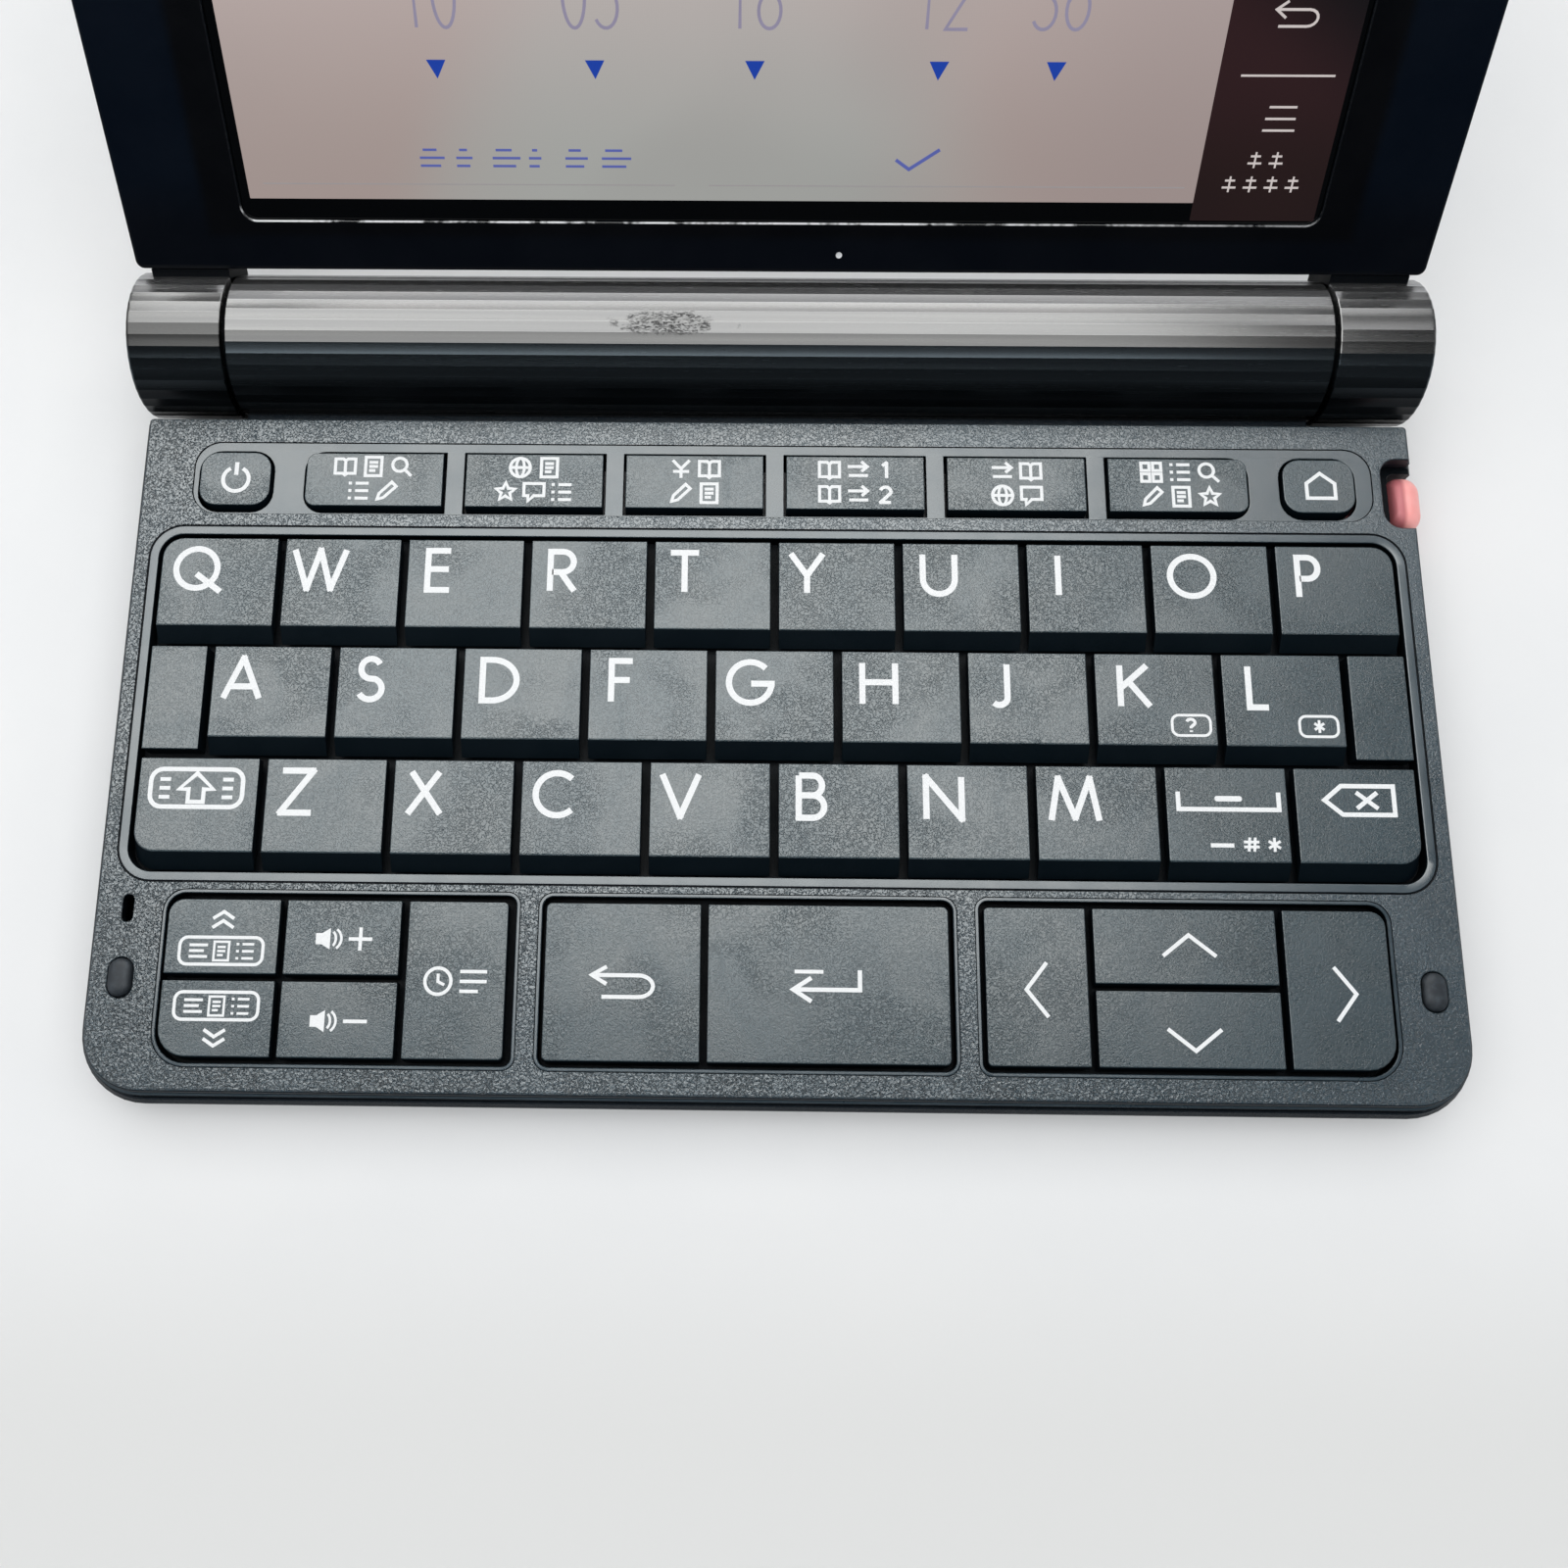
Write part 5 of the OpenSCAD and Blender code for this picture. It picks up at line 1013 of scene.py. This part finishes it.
def door():
    M = Mesh()
    A = angles(TB, -138.9, -41.1, (-139.0, -41.0))
    xs = [-47.3, -47.1]
    for i in range(6): xs += [27.0 + i * 1.7, 27.25 + i * 1.7, 27.75 + i * 1.7, 28.0 + i * 1.7]
    xs += [42.4, 42.6]
    def depth(i, a):
        x = xs[i]
        if i in (0, len(xs) - 1): return -0.15
        return -0.28 if 27.2 < x < 37 and (i - 2) % 4 in (1, 2) and -118 < a < -62 else 0.0
    out = [[M.add([at(xs[i], facet_r(a) + depth(i, a), a)])[0] for a in A] for i in range(len(xs))]
    inn = [[M.add([at(x, 6.68, a)])[0] for a in A] for x in (xs[0], xs[-1])]
    for i in range(len(xs) - 1): M.bridge(out[i], out[i + 1], 0, False)
    M.bridge(inn[0], inn[1], 1, False)
    M.bridge(out[0], inn[0], 1, False); M.bridge(out[-1], inn[1], 1, False)
    for j in (0, -1):
        for i in range(len(xs) - 1):
            if i == 0: M.face([o[j] for o in out] + [inn[1][j], inn[0][j]], 1)
    for x in (-44, -18, 8, 34):
        for a in (-150, -43):
            Q = []
            for r, xx in ((6.3, x), (6.3, x + 3), (5.6, x + 3), (5.6, x)):
                Q.append(M.add([at(xx, r, a + 13 * i / 4) for i in range(5)]))
            for i in range(4): M.bridge(Q[i], Q[(i + 1) % 4], 1, False)
            M.face([p[0] for p in Q], 1); M.face([p[-1] for p in Q], 1)
            b = -139 if a < -90 else -43
            Q = []
            for r, xx in ((6.8, x), (6.8, x + 3), (5.6, x + 3), (5.6, x)):
                Q.append(M.add([at(xx, r, b + 2 * i / 2) for i in range(3)]))
            for i in range(4): M.bridge(Q[i], Q[(i + 1) % 4], 1, False)
            M.face([p[0] for p in Q], 1); M.face([p[-1] for p in Q], 1)
    o = M.obj("door", [barrel_metal, recess_shade], "battery_door", angle=8, weighted=False, slot="barrel_metal")
    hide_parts("battery_door")

def end_caps():
    for s, side in ((-1, "left"), (1, "right")):
        M = Mesh()
        A = angles(TC, -180.0, 180.0)
        prof = [(52.6, 2.6, 1), (52.9, 3.0, 1), (63.15, 3.0, 1), (63.15, 7.0, 1), (63.18, 7.15, 1), (63.38, 7.15, 1), (63.38, None, -0.35), (63.45, None, -0.06), (63.55, None, 0.0), (73.6, None, 0.0), (73.85, None, -0.03), (74.02, None, -0.12),
                (74.15, None, -0.28), (74.2, None, -0.5), (74.2, 5.6, 1), (74.02, 5.35, 1), (74.0, 2.6, 1), (73.9, 2.3, 1), (73.5, 2.2, 1)]
        rings = []
        for x, r, c in prof:
            rings.append(M.add([at(s * x, (r if r else facet_r(a, TC, RC) + c), a) for a in A]))
        ms = [1] * 5 + [0] * 13
        M.chain(rings, ms); M.face(rings[0], 1); M.face(rings[-1], 0)
        o = M.obj(side + "_end_cap", [cap_metal, recess_shade], "lid", angle=8, weighted=False, slot="barrel_metal")
        # arm that carries the lid, and the tongue inside it
        K = Mesh()
        def prism(poly, x0, x1, m=0):
            a = K.add([(s * x0, y, z) for y, z in poly]); b = K.add([(s * x1, y, z) for y, z in poly])
            K.bridge(a, b, m); K.face(a, m); K.face(b, m)
        prism([(-9.25, 0.45), (-6.6, 0.45), (-6.6, 4.2), (-4.6, 6.3), (-4.6, 6.85), (-9.25, 6.85)], 63.38, 72.35)
        prism([(-16, 1.56), (-9.0, 1.56), (-9.0, 6.0), (-16, 6.0)], 64.4, 72.1)
        k = K.obj(side + "_arm", [joint_black], "lid", LID, slot="lid_plastic")
        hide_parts("hinge_end_caps"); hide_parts("hinge_end_caps")

# ------------------------------------------------------------------ lid, drawn closed and then turned open

def lid_rect(g, n=10): return rect(-HW, -87.5, HW, -9.25, (6.5, 6.5, 1, 1), g, n)
WIN = (-60.35, -82.5, 60.35, -15.05)

def lid():
    M = Mesh(); N, R, D = 0, 1, 2
    prof = [(-0.62, 0.16), (-0.34, 0.20), (-0.12, 0.36), (-0.02, 0.62), (0, 0.9), (0, 3.42), (-0.06, 3.52), (-0.16, 3.56)]
    rings = [M.ring(lid_rect(g), z) for g, z in prof]
    M.chain(rings, N)
    win = [M.ring(rect(*WIN, (1.5,) * 4, g, 8), z) for g, z in ((0.24, 0.16), (0.20, 0.145), (0.15, 0.135), (0.09, 0.14), (0.04, 0.17), (0.0, 0.27), (0.0, 1.52))]
    M.chain(win, [N, R, R, R, R, D])
    dot = [M.ring(arc(6.94, -11.39, r, r, 0, 345, 23), z) for r, z in ((0.36, 0.16), (0.28, 0.19), (0.26, 0.26), (0.06, 0.27))]
    M.chain(dot, [R, R, R]); M.face(dot[-1], R)
    M.fill([rings[0], win[0], dot[0]], N)
    inr = [M.ring(lid_rect(-1.4), z) for z in (3.56, 1.56)]
    M.bridge(rings[-1], inr[0], D); M.bridge(inr[0], inr[1], D); M.fill([inr[1], win[-1]], D)
    o = M.obj("bezel", [lid_navy, rim_gloss, recess_shade], "lid", LID, angle=30, slot="lid_plastic")
    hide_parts("lid_bezel")
    M = Mesh()
    prof = [(-0.16, 3.6), (-0.05, 3.63), (0, 3.7), (0, 5.3), (-0.06, 5.6), (-0.22, 5.9), (-0.45, 6.2), (-0.8, 6.55), (-1.4, 6.9), (-2.2, 7.1), (-3.2, 7.16)]
    rings = [M.ring(lid_rect(g), z) for g, z in prof]
    M.chain(rings, N)
    seam = [M.ring(lid_rect(g), z) for g, z in ((-4.6, 7.16), (-4.66, 7.11), (-4.84, 7.11), (-4.9, 7.16))]
    M.bridge(rings[-1], seam[0], N); M.chain(seam, N); M.face(seam[-1], N)
    inr = [M.ring(lid_rect(-1.4), z) for z in (3.6, 6.0)]
    M.bridge(rings[0], inr[0], D); M.bridge(inr[0], inr[1], D); M.face(inr[1], D)
    o = M.obj("lid_back", [lid_cover, rim_gloss, recess_shade], "lid", LID, angle=30, slot="lid_plastic")
    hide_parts("lid_back_cover")
    # window with its black border; the picture and the icon column are bonded behind the same face
    M = Mesh()
    lcd = rect(-59.2, -81.8, 45.9, -17.45, (0.05,) * 4, 0, 1); col = rect(45.9, -81.8, 59.7, -15.5, (0.05,) * 4, 0, 1)
    rr = [M.ring(rect(-60.25, -82.4, 60.25, -15.15, (1.4,) * 4, g, 8), z) for g, z in ((-0.22, 0.26), (-0.05, 0.31), (0, 0.45), (0, 1.5))]
    M.chain(rr, 0); M.face(rr[-1], 0)
    M.face(rr[0], 0)
    o = M.obj("window", [window_gloss], "lid", LID, angle=30, slot="display")
    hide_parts("display_module")
    for name, pts, mt in (("picture", lcd, lcd_picture), ("icon_column", col, icon_column)):
        M = Mesh()
        a = M.ring(pts, 0.2565); b = M.ring(pts, 0.30)
        M.bridge(a, b, 0); M.face(a, 0); M.face(b, 0)
        k = M.obj(name, [mt], "lid", LID, angle=30, weighted=False, slot="display")
        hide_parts("display_module")
    M = Mesh()
    M.block(-61.8, -84, 61.8, -13, 1.6, 3.4, (0.5,) * 4, 0.1)
    k = M.obj("panel_frame", [contact_steel], "lid", LID, slot="display"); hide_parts("display_module")
    screen()

def screen():
    """plain generic content: number wheels with arrows, two buttons, a menu column"""
    P = Print(0.2555, 0.35, -1, 0, -0.16)
    # y on the picture runs from the hinge edge upwards
    xs = (-36.7, -19.9, -3.0, 16.4, 28.7)
    nums = ("10", "05", "18", "12", "36")
    BL, WD, PL, LN, BX = 0, 1, 2, 3, 4
    for x, t in zip(xs, nums):
        P.solid([(x - 1.03, 31.86), (x, 29.98), (x + 1.03, 31.86)], BL)
        P.solid([(x - 1.03, 45.2), (x, 47.1), (x + 1.03, 45.2)], BL)
        for i, c in enumerate(t):
            q = x - 3.05 + i * 3.35
            for st in letter(c, 2.3, 6.3):
                cl = len(st) > 8 and hypot(st[0][0] - st[-1][0], st[0][1] - st[-1][1]) < 1e-6
                P.line([(q + u, 35.0 + v) for u, v in st], 0.34, cl, PL)
    for a, b in ((-58.9, -10.6), (-9.4, 45.6)):
        P.line([(a + 1.5, 18.95), (b - 1.0, 18.95)], 0.12, False, LN)
    # two button signs where words would be
    for k, (a, b) in enumerate(((-39.9, -16.4), (12.3, 17.5))):
        y = 20.7
        if k == 0:
            for i, w_ in enumerate((3.2, 2.1, 3.6, 1.6, 2.9, 3.8)):
                x = a + 0.3 + i * 4.0
                P.line([(x, y + 0.25), (x + w_ * .7, y + 0.25)], 0.26, False, WD); P.line([(x, y + 1.1), (x + w_ * .85, y + 1.1)], 0.26, False, WD); P.line([(x + 0.4, y + 1.95), (x + w_ * .6, y + 1.95)], 0.26, False, WD)
        else:
            P.line([(a + 0.3, y + 1.1), (a + 1.8, y + 0.1), (b - 0.2, y + 2.2)], 0.36, False, WD)
    # upper part of the picture
    P.line([(-59.0, 52.5), (45.6, 52.5)], 0.14, False, LN); P.line([(-59.0, 74.5), (45.6, 74.5)], 0.2, False, LN)
    for i, w_ in enumerate((18, 26, 22)):
        P.line([(-52, 69.5 - i * 5.2), (-52 + w_, 69.5 - i * 5.2)], 0.5, False, WD); P.line([(-52 + w_ + 3, 69.5 - i * 5.2), (-52 + w_ + 30, 69.5 - i * 5.2)], 0.34, False, LN)
    for i in range(5): P.solid(rect(20 + i * 4.6, 76.6, 23.2 + i * 4.6, 79.4, (0.5,) * 4, 0, 3), LN)
    P.solid(rect(-56, 76.6, -38, 79.4, (0.4,) * 4, 0, 3), WD)
    o = P.done("picture_signs", [ui_blue, ui_word, ui_pale, ui_line, ui_box], "lid", LID, slot="display")
    P = Print(0.2555, 0.3, -1, 0, -0.16)
    P.line([(48.25, 30.6), (58.15, 30.6)], 0.22)
    for a, b, y in ((52.0, 54.95, 27.45), (51.8, 55.05, 26.25), (51.75, 55.2, 25.05)): P.line([(a, y), (b, y)], 0.24)
    for y, n_ in ((21.6, 2), (19.0, 4)):
        for i in range(n_):
            x = 53.2 - n_ * 1.12 + i * 2.3
            P.line([(x, y), (x + 1.5, y)], 0.22); P.line([(x + 0.2, y + 0.75), (x + 1.3, y + 0.75)], 0.22); P.line([(x + 0.75, y - 0.5), (x + 0.75, y + 1.2)], 0.2)
    P.line([(51.0, 35.4), (53.9, 35.4)] + arc(53.9, 36.2, 1.0, 0.8, -90, 90, 8)[1:] + [(50.6, 37.0)], 0.26); P.line([(51.6, 36.2), (50.5, 37.0), (51.6, 37.8)], 0.26)
    P.line([(48.25, 42.5), (58.15, 42.5)], 0.22)
    P.line(arc(53.2, 48.6, 1.7, 1.7, 0, 360, 24), 0.26, True); P.line([(54.5, 47.2), (55.9, 45.7)], 0.3)
    P.line([(48.25, 54.5), (58.15, 54.5)], 0.22)
    P.icon("book", 51.4, 58.6, 3.6, 0.26); P.line([(48.25, 66.5), (58.15, 66.5)], 0.22); P.icon("grid", 51.6, 70.6, 3.2, 0.26)
    k = P.done("column_signs", [ui_white], "lid", LID, slot="display")
    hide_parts("display_module"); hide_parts("display_module")

# ------------------------------------------------------------------ stylus

def stylus():
    M = Mesh()
    x0, x1, y0, y1 = 72.45, 76.3, -6.7, -0.1
    lv = [(1.85, 0.45, 0.5, 0.4), (2.0, 0.15, 0.2, 0.15), (2.3, 0, 0, 0), (3.6, 0, 0.0, 0), (4.3, 0.0, 0.08, 0.05), (4.9, 0.03, 0.28, 0.16), (5.35, 0.10, 0.60, 0.36), (5.72, 0.24, 1.0, 0.66), (5.98, 0.50, 1.42, 1.05), (6.11, 0.80, 1.75, 1.45), (6.15, 1.10, 1.98, 1.85)]
    rings = []
    for z, a, b, c in lv:
        q = max(0.25, 1.15 - a * 0.4); p = max(0.3, 1.95 - b * 0.5)
        X0, X1, Y0, Y1 = x0 + a, x1 - b, y0 + c, y1 - c
        q = min(q, (X1 - X0) * 0.45); p = min(p, (X1 - X0) * 0.5)
        rings.append(M.ring(rect(X0, Y0, X1, Y1, (q, p, p, q), 0, 8), z))
    M.chain(rings, 0); M.face(rings[0], 0); M.face(rings[-1], 0)
    # flat shaft and the writing tip
    M.block(-11 + 3, -3.4 - 2.7, 73.2, -3.4 + 2.7, 1.85, 4.65, (0.9, 0.2, 0.2, 0.9), 0.35)
    M.lathe([(1.35, 0), (1.3, -1.0), (0.95, -3.4), (0.68, -4.6), (0.45, -4.92), (0.15, -5.0)], (-7.9, -3.4, 3.25), "X", 24)
    o = M.obj("stylus_pen", [pink], "stylus", angle=40, slot="stylus_pink")
    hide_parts("stylus")

# ------------------------------------------------------------------ put it together

upper_case(); lower_case(); inside(); feet()
letters(); subject_keys(); low_keys()
barrel(); door(); end_caps(); lid(); stylus()
for node, mt in (("cells_and_contacts", cell_wrap),):
    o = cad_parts[node]
    o.data.materials.clear() if not o.material_slots else None
    for sl in o.material_slots: sl.material = mt.m
